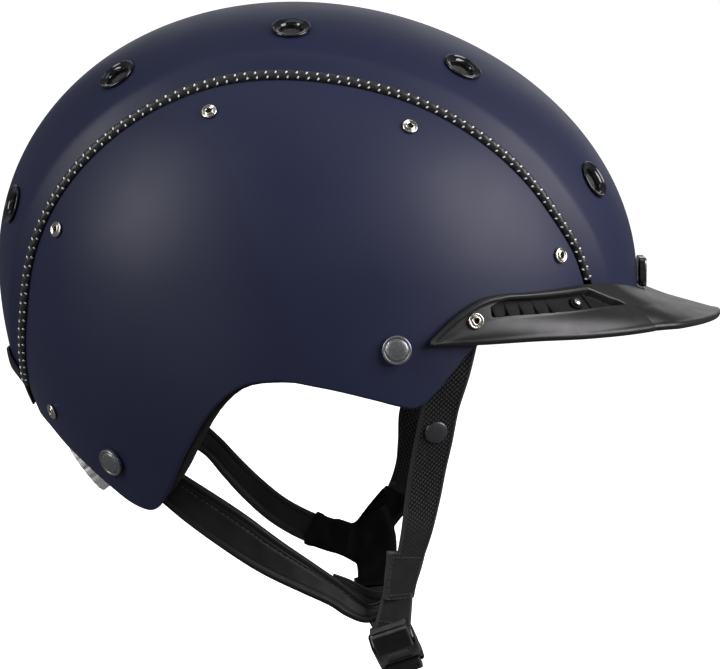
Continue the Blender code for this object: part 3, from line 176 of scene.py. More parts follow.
class Finish:
    """A Principled material, with short ways to give it grain, colour variation and wear.

    A pattern is (features per metre, detail) for noise, or one number for cells of that many a metre.
    """

    def __init__(self, name, colour, roughness, **sockets):
        self.material = bpy.data.materials.new(name)
        self.material.use_nodes = True
        self.tree = self.material.node_tree
        self.link = self.tree.links.new
        self.shader = self.tree.nodes["Principled BSDF"]
        self.base, self.normal = self.shader.inputs["Base Color"], None
        self.base.default_value = rgba(colour)
        self.shader.inputs["Roughness"].default_value = roughness
        for socket, value in sockets.items():
            self.shader.inputs[socket.replace("_", " ")].default_value = value
        self.place = self.add("TexCoord").outputs["Object"]

    def add(self, kind, inputs=(), **values):
        made = self.tree.nodes.new("ShaderNode" + kind)
        for name, value in values.items():
            setattr(made, name, value)
        for socket, value in inputs:
            made.inputs[socket].default_value = value
        return made

    def pattern(self, source):
        """The noise or cells asked for, in the piece's own coordinates, perhaps squeezed along one axis."""
        place = self.place
        if not isinstance(source, tuple):
            made = self.add("TexVoronoi", [("Scale", source)])
            self.link(place, made.inputs["Vector"])
            return made.outputs["Distance"]
        scale, detail, *squeeze = source
        made = self.add("TexNoise", [("Scale", scale), ("Detail", detail)])
        if squeeze:
            mapping = self.add("Mapping", [("Scale", squeeze[0])])
            self.link(place, mapping.inputs["Vector"])
            place = mapping.outputs[0]
        self.link(place, made.inputs["Vector"])
        return made.outputs["Fac"]

    def ranged(self, source, low, high, start=0.3, end=0.7):
        """The source's start..end range turned into low..high."""
        ranged = self.add("MapRange", [("From Min", start), ("From Max", end), ("To Min", low),
                                       ("To Max", high)])
        self.link(source, ranged.inputs["Value"])
        return ranged.outputs["Result"]

    def bump(self, source, distance, strength=1.0):
        """Adds a relief of this depth, in millimetres."""
        bump = self.add("Bump", [("Strength", strength), ("Distance", distance * MM)])
        self.link(self.pattern(source), bump.inputs["Height"])
        if self.normal:
            self.link(self.normal, bump.inputs["Normal"])
        self.normal = bump.outputs["Normal"]
        self.link(self.normal, self.shader.inputs["Normal"])
        return self

    def mix_in(self, factor, other):
        """Mixes the colour so far with another one, by the factor."""
        mix = self.add("Mix", [(6, self.base.default_value), (7, rgba(other))], data_type="RGBA")
        if self.base.links:
            self.link(self.base.links[0].from_socket, mix.inputs[6])
        self.link(factor, mix.inputs[0])
        self.link(mix.outputs[2], self.base)
        return self

    def tint(self, source, other, start=0.3, end=0.7):
        return self.mix_in(self.ranged(self.pattern(source), 0.0, 1.0, start, end), other)

    def roughen(self, source, low, high):
        self.link(self.ranged(self.pattern(source), low, high), self.shader.inputs["Roughness"])
        return self

    def wear(self, other, start=0.52, end=0.6):
        """Lightens the colour along edges that stand out."""
        edge = self.add("NewGeometry").outputs["Pointiness"]
        return self.mix_in(self.ranged(edge, 0.0, 1.0, start, end), other)


def make_finishes():
    """The helmet's materials, by the short names that its pieces ask for."""
    finishes = {
        "navy": Finish("navy_lacquer", (0.0155, 0.0185, 0.048), 0.5, Specular_IOR_Level=0.3)
        .tint((14, 3), (0.018, 0.0205, 0.052)).roughen((30, 4), 0.44, 0.51)
        .bump((900, 2), 0.02, 0.5).bump((4200, 1), 0.012, 0.5),
        "gloss": Finish("gloss_black", (0.005, 0.005, 0.006), 0.09, Coat_Weight=0.5, Coat_Roughness=0.05)
        .roughen((500, 3), 0.06, 0.14).bump((500, 2), 0.006, 0.3),
        "screen": Finish("vent_screen", (0.03, 0.03, 0.031), 0.45, Metallic=0.4)
        .tint((900, 2), (0.06, 0.06, 0.058)).wear((0.14, 0.14, 0.13)),
        "satin": Finish("satin_black", 0.012, 0.4, Specular_IOR_Level=0.48)
        .tint((60, 4), 0.016).roughen((160, 4), 0.35, 0.44).bump(2600, 0.02, 0.45).bump((300, 3), 0.03, 0.3),
        # The side slot's faces: the visor's own black plastic, painted darker as shade for the recess.
        "slot": Finish("slot_painted_shade", 0.0045, 0.7, Specular_IOR_Level=0.2)
        .tint((60, 4), 0.007).bump(2600, 0.02, 0.45),
        "rubber": Finish("soft_black", (0.012, 0.012, 0.013), 0.55)
        .tint((200, 4), 0.018).bump((1500, 3), 0.04, 0.5),
        "plastic": Finish("matt_black_plastic", 0.014, 0.5)
        .tint((120, 3), 0.02).roughen((400, 3), 0.42, 0.58).bump((2200, 2), 0.02, 0.4),
        "buckle": Finish("buckle_plastic", 0.003, 0.12, Specular_IOR_Level=0.4)
        .tint((200, 3), 0.0045).roughen((500, 4), 0.08, 0.17).bump((1300, 2), 0.015, 0.4),
        "web": Finish("webbing", (0.007, 0.007, 0.0072), 0.75, Specular_IOR_Level=0.3, Sheen_Weight=0.05)
        .tint((260, 4), (0.013, 0.0128, 0.0128)).wear((0.06, 0.058, 0.057), 0.505, 0.56)
        .bump((5200, 2, (1, 1, 0.35)), 0.05, 0.7),
        "leather": Finish("strap_leather", (0.0065, 0.0065, 0.0067), 0.5, Specular_IOR_Level=0.22)
        .tint((90, 5), (0.011, 0.011, 0.0113)).roughen((240, 4), 0.42, 0.6)
        .wear((0.028, 0.028, 0.0285), 0.51, 0.57).bump(1500, 0.05, 0.4).bump((420, 4), 0.08, 0.35),
        # The junction cover: black, and painted darker than the strap leather as shade for its place on the
        # far side.
        "cover": Finish("cover_cloth_with_painted_shade", (0.0025, 0.0025, 0.0027), 0.85, Specular_IOR_Level=0.08)
        .tint((150, 4), (0.0045, 0.0045, 0.0047)).wear((0.012, 0.012, 0.0125), 0.51, 0.58)
        .bump((900, 3), 0.05, 0.4),
        "thread": Finish("strap_thread", 0.032, 0.6).tint((1200, 2), 0.055).bump((6000, 1), 0.05, 0.6),
        "cord": Finish("cord_braid", (0.007, 0.007, 0.008), 0.42, Sheen_Weight=0.1)
        .tint((1400, 3), (0.018, 0.018, 0.019)).wear(0.03, 0.51, 0.6).bump((5200, 2), 0.06, 0.6),
        "silver": Finish("silver_thread", (0.95, 0.95, 0.92), 0.3)
        .tint((3000, 2), (0.8, 0.8, 0.77)).bump((7000, 1), 0.04, 0.6),
        "nickel": Finish("bright_nickel", (0.78, 0.74, 0.66), 0.17, Metallic=1.0)
        .roughen((900, 3), 0.12, 0.28).tint((300, 3), (0.66, 0.62, 0.54)).bump((2400, 2), 0.015, 0.4),
        "stud": Finish("stud_metal", (0.2, 0.203, 0.208), 0.3, Metallic=0.9)
        .roughen((1500, 4), 0.22, 0.4).tint((2600, 2), (0.11, 0.113, 0.117)).bump((3400, 2), 0.02, 0.4),
        "dark": Finish("dark_chrome", (0.10, 0.10, 0.105), 0.16, Metallic=1.0)
        .roughen((1000, 3), 0.12, 0.22).tint((700, 3), (0.2, 0.2, 0.205)),
        "gun": Finish("dark_pewter", (0.34, 0.345, 0.35), 0.34, Metallic=0.8)
        .roughen((1500, 4), 0.24, 0.48).tint((2600, 2), (0.17, 0.175, 0.18)).bump((3400, 2), 0.03, 0.5),
        "frost": Finish("frosted_plastic", (0.84, 0.85, 0.83), 0.32, Transmission_Weight=0.2, IOR=1.46)
        .tint((300, 3), (0.9, 0.9, 0.89)).roughen((900, 3), 0.3, 0.48).bump((1600, 2), 0.03, 0.4),
        "foam": Finish("bead_foam", (0.008, 0.008, 0.0085), 0.85, Specular_IOR_Level=0.2)
        .tint(330, (0.017, 0.017, 0.0175), 0.2, 0.9).bump(330, 0.35, 0.8).bump((2000, 2), 0.05, 0.4),
        "knit": Finish("lining_knit", (0.012, 0.012, 0.013), 0.95, Sheen_Weight=0.25, Sheen_Roughness=0.6)
        .tint((150, 4), (0.022, 0.022, 0.023)).bump(1100, 0.22, 0.8).bump((500, 4), 0.12, 0.4)}
    return {key: finish.material for key, finish in finishes.items()}


PAINT = {}


# ---------------------------------------------------------------- the dome
def lean(z):
    return -LEAN * z - LEAN_CROWN * np.maximum(z, 0) ** 2


def dome_value(p):
    """Below 0 inside the dome and above 0 outside it, for an array of points."""
    x, y, z = p[..., 0], p[..., 1], p[..., 2]
    crown = 1 - (z / CROWN_HEIGHT) ** 2
    fore_aft = np.where(z > 0, crown, 1 - (z / DROP_FORE_AFT) ** 2)
    ratio = np.where(z > 0, 1.0, fore_aft / (1 - (z / DROP_SIDEWAYS) ** 2))
    return ((x - lean(z)) / HALF_LENGTH) ** 2 + (y / HALF_WIDTH) ** 2 * ratio - fore_aft


def on_dome(start, direction):
    """Where lines from start along direction leave the dome."""
    low = np.zeros(direction.shape[:-1])
    high = np.full(direction.shape[:-1], 190.0)
    for _ in range(40):
        middle = (low + high) / 2
        inside = dome_value(start + direction * middle[..., None]) < 0
        low, high = np.where(inside, middle, low), np.where(inside, high, middle)
    return start + direction * low[..., None]


def dome_normal(p):
    step = 0.05
    slopes = []
    for axis in range(3):
        shift = np.zeros(3)
        shift[axis] = step
        slopes.append(dome_value(p + shift) - dome_value(p - shift))
    return unit(np.stack(slopes, -1))


def hermite(knots, at):
    """A smooth curve through (place, value) knots, read at the places given."""
    x = np.array([k[0] for k in knots], float)
    y = np.array([k[1] for k in knots], float)
    slope = np.gradient(y, x)
    at = np.clip(np.asarray(at, float), x[0], x[-1])
    i = np.clip(np.searchsorted(x, at) - 1, 0, len(x) - 2)
    width = x[i + 1] - x[i]
    t = (at - x[i]) / width
    start = (1 + 2 * t) * (1 - t) ** 2 * y[i] + t * (1 - t) ** 2 * width * slope[i]
    end = t * t * (3 - 2 * t) * y[i + 1] + t * t * (t - 1) * width * slope[i + 1]
    return start + end


def smooth(t):
    t = np.clip(t, 0, 1)
    return t * t * (3 - 2 * t)


def turned_direction(turn, angle):
    """Direction at a turn about the Y axis from the front and an angle off the middle plane."""
    turn, angle = np.radians(turn), np.radians(angle)
    return np.stack([np.cos(turn) * np.cos(angle), np.sin(angle), np.sin(turn) * np.cos(angle)], -1)


def unit(v):
    v = np.asarray(v, float)
    return v / np.linalg.norm(v, axis=-1, keepdims=True)


def gaps(points):
    """The lengths of a polyline's segments."""
    return np.linalg.norm(np.diff(points, axis=0), axis=1)


def run(points):
    """How far along a polyline each of its points is."""
    return np.concatenate([[0], np.cumsum(gaps(points))])


def resample(points, count):
    """Points evenly spaced along a polyline."""
    place = run(points)
    at = np.linspace(0, place[-1], count)
    return np.stack([np.interp(at, place, points[:, k]) for k in range(points.shape[1])], -1)


def spline(points, count):
    """A smooth curve through points, evenly sampled."""
    points = np.asarray(points, float)
    chord = run(points)
    fine = np.linspace(0, chord[-1], 40 * len(points))
    columns = [hermite(list(zip(chord, points[:, k])), fine) for k in range(points.shape[1])]
    return resample(np.stack(columns, -1), count)


def split_curve(count):
    """The split line on the left side (+Y), from the front to the middle of the nape."""
    whole = SPLIT + [(turn, -angle) for turn, angle in SPLIT[-2::-1]]
    place = np.arange(len(whole))
    fine = np.linspace(0, len(SPLIT) - 1, 900)
    turn = hermite(list(zip(place, [k[0] for k in whole])), fine)
    angle = hermite(list(zip(place, [k[1] for k in whole])), fine)
    return resample(on_dome(np.zeros(3), turned_direction(turn, angle)), count)


SPLIT_FINE = split_curve(700)


def in_band(p):
    """True where a point lies within the centre band, seen from the origin."""
    direction = unit(p)
    turn = np.degrees(np.arctan2(direction[..., 2], direction[..., 0]))
    turn = np.where(turn < SPLIT[0][0] - 20, turn + 360, turn)
    edge = unit(SPLIT_FINE)
    edge_turn = np.unwrap(np.arctan2(edge[:, 2], edge[:, 0]))
    limit = np.interp(np.radians(turn), edge_turn, np.arcsin(edge[:, 1]), right=0.0)
    return np.abs(np.arcsin(np.clip(direction[..., 1], -1, 1))) < limit


def band_raise(p):
    """How far the skin stands proud of the dome: a slope up from the groove, then a soft crease."""
    near = p * np.array([1, 0, 1]) + np.abs(p) * np.array([0, 1, 0])
    distance = np.full(p.shape[:-1], 1e9)
    for q in SPLIT_FINE:
        distance = np.minimum(distance, ((near - q) ** 2).sum(-1))
    t = np.clip((np.sqrt(distance) - GROOVE_HALF) / BAND_FLANK, 0, 3)
    soft = 0.07
    ramp = t - soft * np.log1p(np.exp((t - 1) / soft))
    return np.where(in_band(p), BAND_RAISE * np.maximum(ramp, 0.0), 0.0)


def skin(direction, offset=0.0):
    """Points on the helmet's outer face in the given directions, moved out by offset."""
    p = on_dome(np.zeros(3), unit(direction))
    return p + dome_normal(p) * (offset + band_raise(p))[..., None]


def level_point(azimuth, height):
    """The dome's point at an azimuth and a height."""
    azimuth, height = np.radians(azimuth), np.asarray(height, float)
    start = np.stack([lean(height), 0 * height, height], -1)
    aim_at = np.stack([np.cos(azimuth), np.sin(azimuth), 0 * azimuth], -1)
    return on_dome(start, aim_at)


def rim_height(azimuth):
    return hermite(RIM, np.abs((np.asarray(azimuth, float) + 180) % 360 - 180))


def rim_point(azimuth, lift=0.0):
    return level_point(azimuth, rim_height(azimuth) + lift)


def slerp(a, b, t):
    a, b = unit(a), unit(b)
    whole = np.arccos(np.clip((a * b).sum(-1), -1, 1))[..., None]
    return (a * np.sin((1 - t) * whole) + b * np.sin(t * whole)) / np.sin(whole)


def off_split(points, distance):
    """Split-line points moved across the line: above 0 towards the rim, below 0 to the band."""
    along = unit(np.gradient(points, axis=0))
    return points + np.cross(along, dome_normal(points)) * distance


def mirrored(v, side):
    """A left-hand point or direction, moved to the side wanted."""
    return np.asarray(v, float) * np.array([1, side, 1])


# ---------------------------------------------------------------- shapes
# A shape is (points, faces): an array of points and a list of face tuples.
def merged(shapes):
    points, faces, base = [], [], 0
    for p, f in shapes:
        points.append(p)
        faces += [tuple(i + base for i in face) for face in f]
        base += len(p)
    return np.concatenate(points), faces


def tube(rings, caps=True, loop=False):
    """A body through rings of points. With loop, the last ring joins the first one."""
    n, m = rings.shape[:2]
    i, j = np.meshgrid(np.arange(n if loop else n - 1), np.arange(m), indexing="ij")
    ahead, beside = (i + 1) % n, (j + 1) % m
    quads = np.stack([i * m + j, i * m + beside, ahead * m + beside, ahead * m + j], -1)
    faces = [tuple(q) for q in quads.reshape(-1, 4).tolist()]
    points = rings.reshape(-1, 3)
    if caps and not loop:
        points = np.concatenate([points, rings[0].mean(0)[None], rings[-1].mean(0)[None]])
        last = (n - 1) * m
        for k in range(m):
            faces.append((n * m, (k + 1) % m, k))
            faces.append((n * m + 1, last + k, last + (k + 1) % m))
    return points, faces


def grid_normal(grid):
    rows, columns = np.gradient(grid, axis=0), np.gradient(grid, axis=1)
    return unit(np.cross(columns, rows))


def thick_sheet(grid, thickness, outward, bulge=0.6, steps=5, inner=None):
    """A closed sheet under a grid of points, with rounded edges. outward says which way is out."""
    normal = grid_normal(grid)
    normal = normal * np.sign((normal * outward).sum(-1, keepdims=True))
    if inner is None:
        inner = grid - normal * thickness
    n, m = grid.shape[:2]
    ring = [(0, j) for j in range(m)] + [(i, m - 1) for i in range(1, n)]
    ring += [(n - 1, j) for j in range(m - 2, -1, -1)] + [(i, 0) for i in range(n - 2, 0, -1)]
    rows, columns = np.array(ring).T
    row_in, column_in = np.clip(rows, 1, n - 2), np.clip(columns, 1, m - 2)
    top, under = grid[rows, columns], inner[rows, columns]
    away = unit(top - grid[row_in, column_in])
    middle, half = (top + under) / 2, (top - under) / 2
    loops = [middle + half * math.cos(a) + away * bulge * math.sin(a)
             for a in np.linspace(0, math.pi, steps + 1)[1:-1]]
    count, around = n * m, len(ring)
    points = np.concatenate([grid.reshape(-1, 3), inner.reshape(-1, 3), *loops])
    faces = []
    for i in range(n - 1):
        for j in range(m - 1):
            a, b = i * m + j, (i + 1) * m + j
            faces.append((a, a + 1, b + 1, b))
            faces.append((count + a, count + b, count + b + 1, count + a + 1))
    edge = [list(rows * m + columns)]
    edge += [list(range(2 * count + k * around, 2 * count + (k + 1) * around)) for k in range(len(loops))]
    edge.append(list(count + rows * m + columns))
    for a, b in zip(edge[:-1], edge[1:]):
        for k in range(around):
            n_k = (k + 1) % around
            faces.append((a[k], b[k], b[n_k], a[n_k]))
    return points, [tuple(int(i) for i in face) for face in faces]


def turned(profile, place, steps=48, ring=False, notch=None):
    """A turned shape: profile (radius, height) down its outer side, placed by a matrix."""
    profile = np.array(profile, float)
    turns = np.linspace(0, 2 * math.pi, steps, endpoint=False)
    radius = profile[:, :1] * np.ones(steps)
    if notch is not None:
        radius = radius * notch(profile[:, :1], turns)
    rings = np.stack([radius * np.cos(turns), radius * np.sin(turns),
                      profile[:, 1:] * np.ones(steps)], -1)
    return placed(tube(rings, caps=not ring, loop=ring), place)


def placed(made, place):
    turn, shift = place
    return made[0] @ turn.T + shift, made[1]


def frame_at(point, normal, along=(0, 0, 1)):
    """A placement, as (turn, shift), whose Z axis is the normal and X axis is nearest to along."""
    z = unit(normal)
    along = np.asarray(along, float)
    x = unit(along - z * (z @ along))
    return np.stack([x, np.cross(z, x), z], -1), np.asarray(point, float)


def arc(x, y, radius, start, end, count=6):
    """Profile points along an arc, angles in degrees."""
    return [(x + radius * math.cos(math.radians(a)), y + radius * math.sin(math.radians(a)))
            for a in np.linspace(start, end, count)]


def strap(line, normals, width, thickness, relief=None, step=0.35, across=None):
    """A strap along a line, with rounded edges. relief(s, u, half) lifts its faces.

    step and across are the sizes of its faces, along it and across it.
    """
    line = np.asarray(line, float)
    length = gaps(line).sum()
    count = max(int(length / step), 8)
    place = np.linspace(0, 1, len(line))
    fine = np.linspace(0, 1, count)
    points = resample(line, count)
    facing = np.broadcast_to(normals, line.shape)
    facing = np.stack([np.interp(fine, place, facing[:, k]) for k in range(3)], -1)
    along = unit(np.gradient(points, axis=0))
    side = unit(np.cross(along, facing))
    out = np.cross(side, along)
    width = np.interp(fine, place, np.broadcast_to(width, len(line)))[:, None]
    thick = np.interp(fine, place, np.broadcast_to(thickness, len(line)))[:, None]
    share = np.linspace(-1, 1, max(int(width.max() / (across or step)), 6))[None]
    edge = thick / 2
    u = share * (width / 2 - edge)
    s = fine[:, None] * length
    lift = relief(s, u, width / 2) if relief else 0 * u
    turns = np.radians(np.linspace(90, -90, 7)[1:-1])
    right_u = (width / 2 - edge) + edge * np.cos(turns)
    right_h = edge * np.sin(turns) + 0 * right_u
    us = np.concatenate([u, right_u, u[:, ::-1], -right_u[:, ::-1]], 1)
    hs = np.concatenate([edge + lift, right_h, -(edge + lift)[:, ::-1], right_h[:, ::-1]], 1)
    rings = points[:, None] + side[:, None] * us[..., None] + out[:, None] * hs[..., None]
    return tube(rings)


def beads(centres, along, out, size, around=8, rows=6):
    """Small rounded bodies, each with half sizes (along, across, out)."""
    along, out = unit(along), unit(out)
    across = unit(np.cross(out, along))
    out = np.cross(along, across)
    tilt = np.radians(np.linspace(-75, 75, rows))
    turns = np.linspace(0, 2 * math.pi, around, endpoint=False)
    base = np.stack([np.sin(tilt)[:, None] * np.ones(around), np.cos(tilt)[:, None] * np.cos(turns),
                     np.cos(tilt)[:, None] * np.sin(turns)], -1) * np.array(size)
    one, faces = tube(base)
    points = (centres[:, None] + one[None, :, :1] * along[:, None]
              + one[None, :, 1:2] * across[:, None] + one[None, :, 2:] * out[:, None])
    count = len(one)
    every = [tuple(i + k * count for i in face) for k in range(len(centres)) for face in faces]
    return points.reshape(-1, 3), every


def new_object(name, shape, scale=MM):
    """An object in the scene, from a shape whose unit is this many metres."""
    points, faces = shape
    mesh = bpy.data.meshes.new(name)
    mesh.from_pydata((np.asarray(points, float) * scale).tolist(), [], faces)
    obj = bpy.data.objects.new(name, mesh)
    bpy.context.scene.collection.objects.link(obj)
    return obj


def faced_out(obj):
    """Turns the faces of each closed body outwards."""
    work = bmesh.new()
    work.from_mesh(obj.data)
    bmesh.ops.recalc_face_normals(work, faces=work.faces)
    work.to_mesh(obj.data)
    work.free()
    return obj


def piece(name, body, parts, replaces=(), sharp=38):
    """A finished piece: parts are (finish, shape) pairs."""
    obj = new_object(name, merged([shape for _, shape in parts]))
    for key, _ in parts:
        obj.data.materials.append(PAINT[key])
    index = [k for k, (_, shape) in enumerate(parts) for _ in shape[1]]
    obj.data.polygons.foreach_set("material_index", index)
    return finished(faced_out(obj), body, replaces, sharp)


def smoothed(obj, sharp):
    """Smooth shading, with sharp edges where faces meet at more than this many degrees."""
    obj.data.shade_smooth()
    obj.data.set_sharp_from_angle(angle=math.radians(sharp))


def finished(obj, body, replaces=(), sharp=38):
    smoothed(obj, sharp)
    if body:
        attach(obj, body)
    if replaces:
        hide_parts(*replaces)
    return obj


def repainted(obj, key):
    obj.data.materials.clear()
    obj.data.materials.append(PAINT[key])
    return obj


def baked(obj):
    """Applies the object's modifiers and placement."""
    bpy.context.view_layer.update()
    graph = bpy.context.evaluated_depsgraph_get()
    obj.data = bpy.data.meshes.new_from_object(obj.evaluated_get(graph))
    obj.modifiers.clear()
    obj.data.transform(obj.matrix_world)
    obj.matrix_world = Matrix.Identity(4)
    return obj


def combine(obj, others, operation="DIFFERENCE"):
    """Takes the other objects away from this one, or adds them to it."""
    for other in others:
        change = obj.modifiers.new("combine", "BOOLEAN")
        change.operation, change.solver, change.object = operation, "EXACT", baked(other)
        baked(obj)
        bpy.data.objects.remove(other)


# ---------------------------------------------------------------- shells
def support(count, near=0.004):
    """Shares from 0 to 1, with an extra row close to each end."""
    return np.concatenate([[0, near], np.linspace(0, 1, count)[1:-1], [1 - near, 1]])


NAPE_SEAM_HALF, RIM_MARGIN, BAND_END_HALF = 0.2, 1.5, 4.0


def side_shell(word, side):
    columns, rows = 230, 46
    top = off_split(split_curve(900), GROOVE_HALF)
    azimuth = np.degrees(np.arctan2(top[:, 1], top[:, 0]))
    top = resample(top[top[:, 2] > rim_height(azimuth) + RIM_MARGIN], columns)
    top[-1, 1] = NAPE_SEAM_HALF
    azimuth = np.degrees(np.arctan2(top[0, 1], top[0, 0])) + 0.5
    rim = resample(rim_point(np.linspace(azimuth, 179.9, 1200)), columns)
    share = support(rows)[:, None]
    grid = np.stack([skin(slerp(a, b, share)) for a, b in zip(top, rim)])
    grid[-1, :, 1] = NAPE_SEAM_HALF
    grid = mirrored(grid, side)
    sheet = thick_sheet(grid, SHELL_WALL, grid * np.array([1, 1, 0.6]))
    piece(f"side_shell_{word}_skin", "root", [("navy", sheet)], [f"side_shell_{word}"],
          sharp=60)


def vent_place(turn, angle):
    direction = turned_direction(turn, angle)[None]
    normal = dome_normal(on_dome(np.zeros(3), direction))[0]
    return frame_at(skin(direction)[0], normal, along=(0, 1, 0))


def centre_shell():
    rows, columns = 260, 74
    edge = off_split(split_curve(rows), -GROOVE_HALF)
    edge = edge[edge[:, 1] > BAND_END_HALF]
    share = np.linspace(-1, 1, columns)
    share = 0.5 + 0.5 * np.sign(share) * np.abs(share) ** 0.8
    share = np.concatenate([[0, 0.003], share[1:-1], [0.997, 1]])[:, None]
    grid = np.stack([skin(slerp(mirrored(q, -1), q, share)) for q in edge])
    sheet = thick_sheet(grid, SHELL_WALL, grid)
    shell = piece("center_shell_skin", "root", [("navy", sheet)], ["center_shell"],
                  sharp=60)
    drills = [turned([(VENT_HOLE, 5.0), (VENT_HOLE, -8.0)], vent_place(turn, angle * side), 40)
              for turn, angle in VENTS.values() for side in SIDES.values()]
    combine(shell, [faced_out(new_object("drills", merged(drills)))])
    shell.data.set_sharp_from_angle(angle=math.radians(60))


CORD_RADIUS, CORD_LAY, CORD_RISE = 1.85, 4.1, 0.35
CORD_START_HEIGHT, CORD_END_HALF = -0.5, 13.0
STITCH_LEANS = (math.radians(10), math.radians(72))


def trim_line():
    """The trim cord's middle line on the left, and its length."""
    whole = split_curve(1600)
    line = whole + dome_normal(whole) * CORD_RISE
    start = np.argmax(line[:, 2] > CORD_START_HEIGHT)
    end = len(line) - np.argmax(line[::-1, 1] > CORD_END_HALF)
    line = line[start:end]
    return line, gaps(line).sum()


def trim_cord(word, side):
    """The laid cord in the groove, and the two rows of bright stitches that cross it."""
    radius, lay, around = CORD_RADIUS, CORD_LAY, 20
    line, length = trim_line()
    line = mirrored(resample(line, int(length / 0.3)), side)
    along = unit(np.gradient(line, axis=0))
    out = dome_normal(line)
    across = unit(np.cross(along, out)) * side
    s = np.linspace(0, length, len(line))[:, None]
    turns = np.linspace(0, 2 * math.pi, around, endpoint=False)[None]
    phase = 2 * math.pi * s / lay + turns
    ply = 0.3 * np.abs(np.cos(phase / 2)) - 0.14 + 0.05 * np.cos(5 * turns - 4 * math.pi * s / lay)
    taper = smooth(np.minimum(s, length - s) / 1.5 + 0.35)
    r = (radius + ply) * taper
    rings = (line[:, None] + out[:, None] * (r * np.cos(turns))[..., None]
             + across[:, None] * (r * np.sin(turns))[..., None])
    piece(f"trim_cord_{word}_braid", "root", [("cord", tube(rings))], [f"trim_cord_{word}"],
          sharp=80)
    rows = []
    for lean_out in STITCH_LEANS:
        first = lay * (0.5 - lean_out / (2 * math.pi))
        at = np.arange(first, length - 2.5, lay)
        pick = np.clip((at / length * (len(line) - 1)).round().astype(int), 0, len(line) - 1)
        spoke = out[pick] * math.cos(lean_out) + across[pick] * math.sin(lean_out)
        slant = along[pick] * 0.45 + np.cross(spoke, along[pick])
        rows.append(beads(line[pick] + spoke * (radius + 0.1), slant, spoke, (0.66, 0.38, 0.32)))
    piece(f"trim_stitches_{word}", "root", [("silver", merged(rows))], sharp=80)


def rear_trim_plate():
    turn = np.linspace(*PLATE_SPAN, 40)
    reach = hermite(list(zip(np.linspace(*PLATE_SPAN, len(PLATE_REACH)), PLATE_REACH)), turn)
    share = np.linspace(-1, 1, 60)
    grid = np.stack([skin(turned_direction(t, share * r), 1.55) for t, r in zip(turn, reach)])
    crown = np.outer(np.sin(np.linspace(0, math.pi, 40)) ** 0.5, 1 - np.abs(share) ** 4) * 0.45
    grid = grid + dome_normal(grid) * crown[..., None]
    piece("rear_trim_plate_cover", "root", [("rubber", thick_sheet(grid, 1.1, grid, 0.5))],
          ["rear_trim_plate"], sharp=60)


# ---------------------------------------------------------------- fasteners
def seat_at(point, normal, side):
    """A seat with the point and normal given for the left side."""
    return frame_at(mirrored(point, side), mirrored(normal, side))


def surface_place(point, side):
    """A seat on the dome, for a point given on its left side."""
    return seat_at(point, dome_normal(np.asarray(point, float)[None])[0], side)


def eyelet_places(side):
    places = {}
    for name, (turn, angle) in EYELETS.items():
        places[name] = surface_place(on_dome(np.zeros(3), turned_direction(turn, angle)[None])[0], side)
    nape = level_point(np.array([NAPE_EYELET[0]]), np.array([NAPE_EYELET[1]]))[0]
    places["nape"] = surface_place(nape, side)
    return places


def rivet_profile(lift):
    """A stepped round rivet head with a hole: an outer bead, a shallow groove and an inner bead."""
    outer = arc(2.75, lift + 0.35, 0.5, -60, 130, 9)
    inner = arc(1.5, lift + 0.75, 0.42, 20, 200, 9)
    return [(2.0, -4.0), (2.0, lift - 0.1), *outer, (2.05, lift + 0.5), *inner, (1.02, lift - 0.2),
            (0.95, -4.0)]


def eyelet(node, ending, place, lift):
    bore = turned([(1.0, lift - 0.9), (1.0, lift - 1.3)], place, 20)
    ring = turned(rivet_profile(lift), place, 40, ring=True)
    piece(f"{node}_{ending}", "root", [("nickel", ring), ("plastic", bore)], [node])


CAP_DOTS, CAP_DOT_RING, CAP_DOT_SIZE = 22, 3.55, (0.34, 0.2, 0.16)


def cap(node, place, lift):
    """A domed cap: a rolled border, a fine groove, a ring of small dots and a shallow dome."""
    profile = [(0.6, lift + 2.35), (2.0, lift + 2.27), (3.2, lift + 2.1), (4.35, lift + 1.78),
               (4.6, lift + 1.55), (4.75, lift + 1.55), *arc(5.25, lift + 1.2, 0.62, 140, -20, 9),
               (5.85, lift + 0.3), (5.6, lift), (2.2, lift), (2.2, -4)]
    head = turned(profile, place, 56)
    turns = np.linspace(0, 2 * math.pi, CAP_DOTS, endpoint=False)
    away = np.stack([np.cos(turns), np.sin(turns), 0 * turns], -1)
    spot = away * CAP_DOT_RING + np.array([0, 0, lift + 1.98])
    up = np.broadcast_to([0.0, 0.0, 1.0], away.shape)
    dots = placed(beads(spot, away, up, CAP_DOT_SIZE), place)
    piece(f"{node}_dome", "root", [("gun", head), ("gun", dots)], [node])


def beside(x, z):
    """The dome's point straight out to the left of a place on the middle plane."""
    return on_dome(np.array([x, 0.0, z]), np.array([[0.0, 1.0, 0.0]]))[0]


WIRE_PITCH, WIRE_RADIUS, SCREEN_RADIUS, SCREEN_LEVEL = 0.86, 0.17, 4.65, -2.3


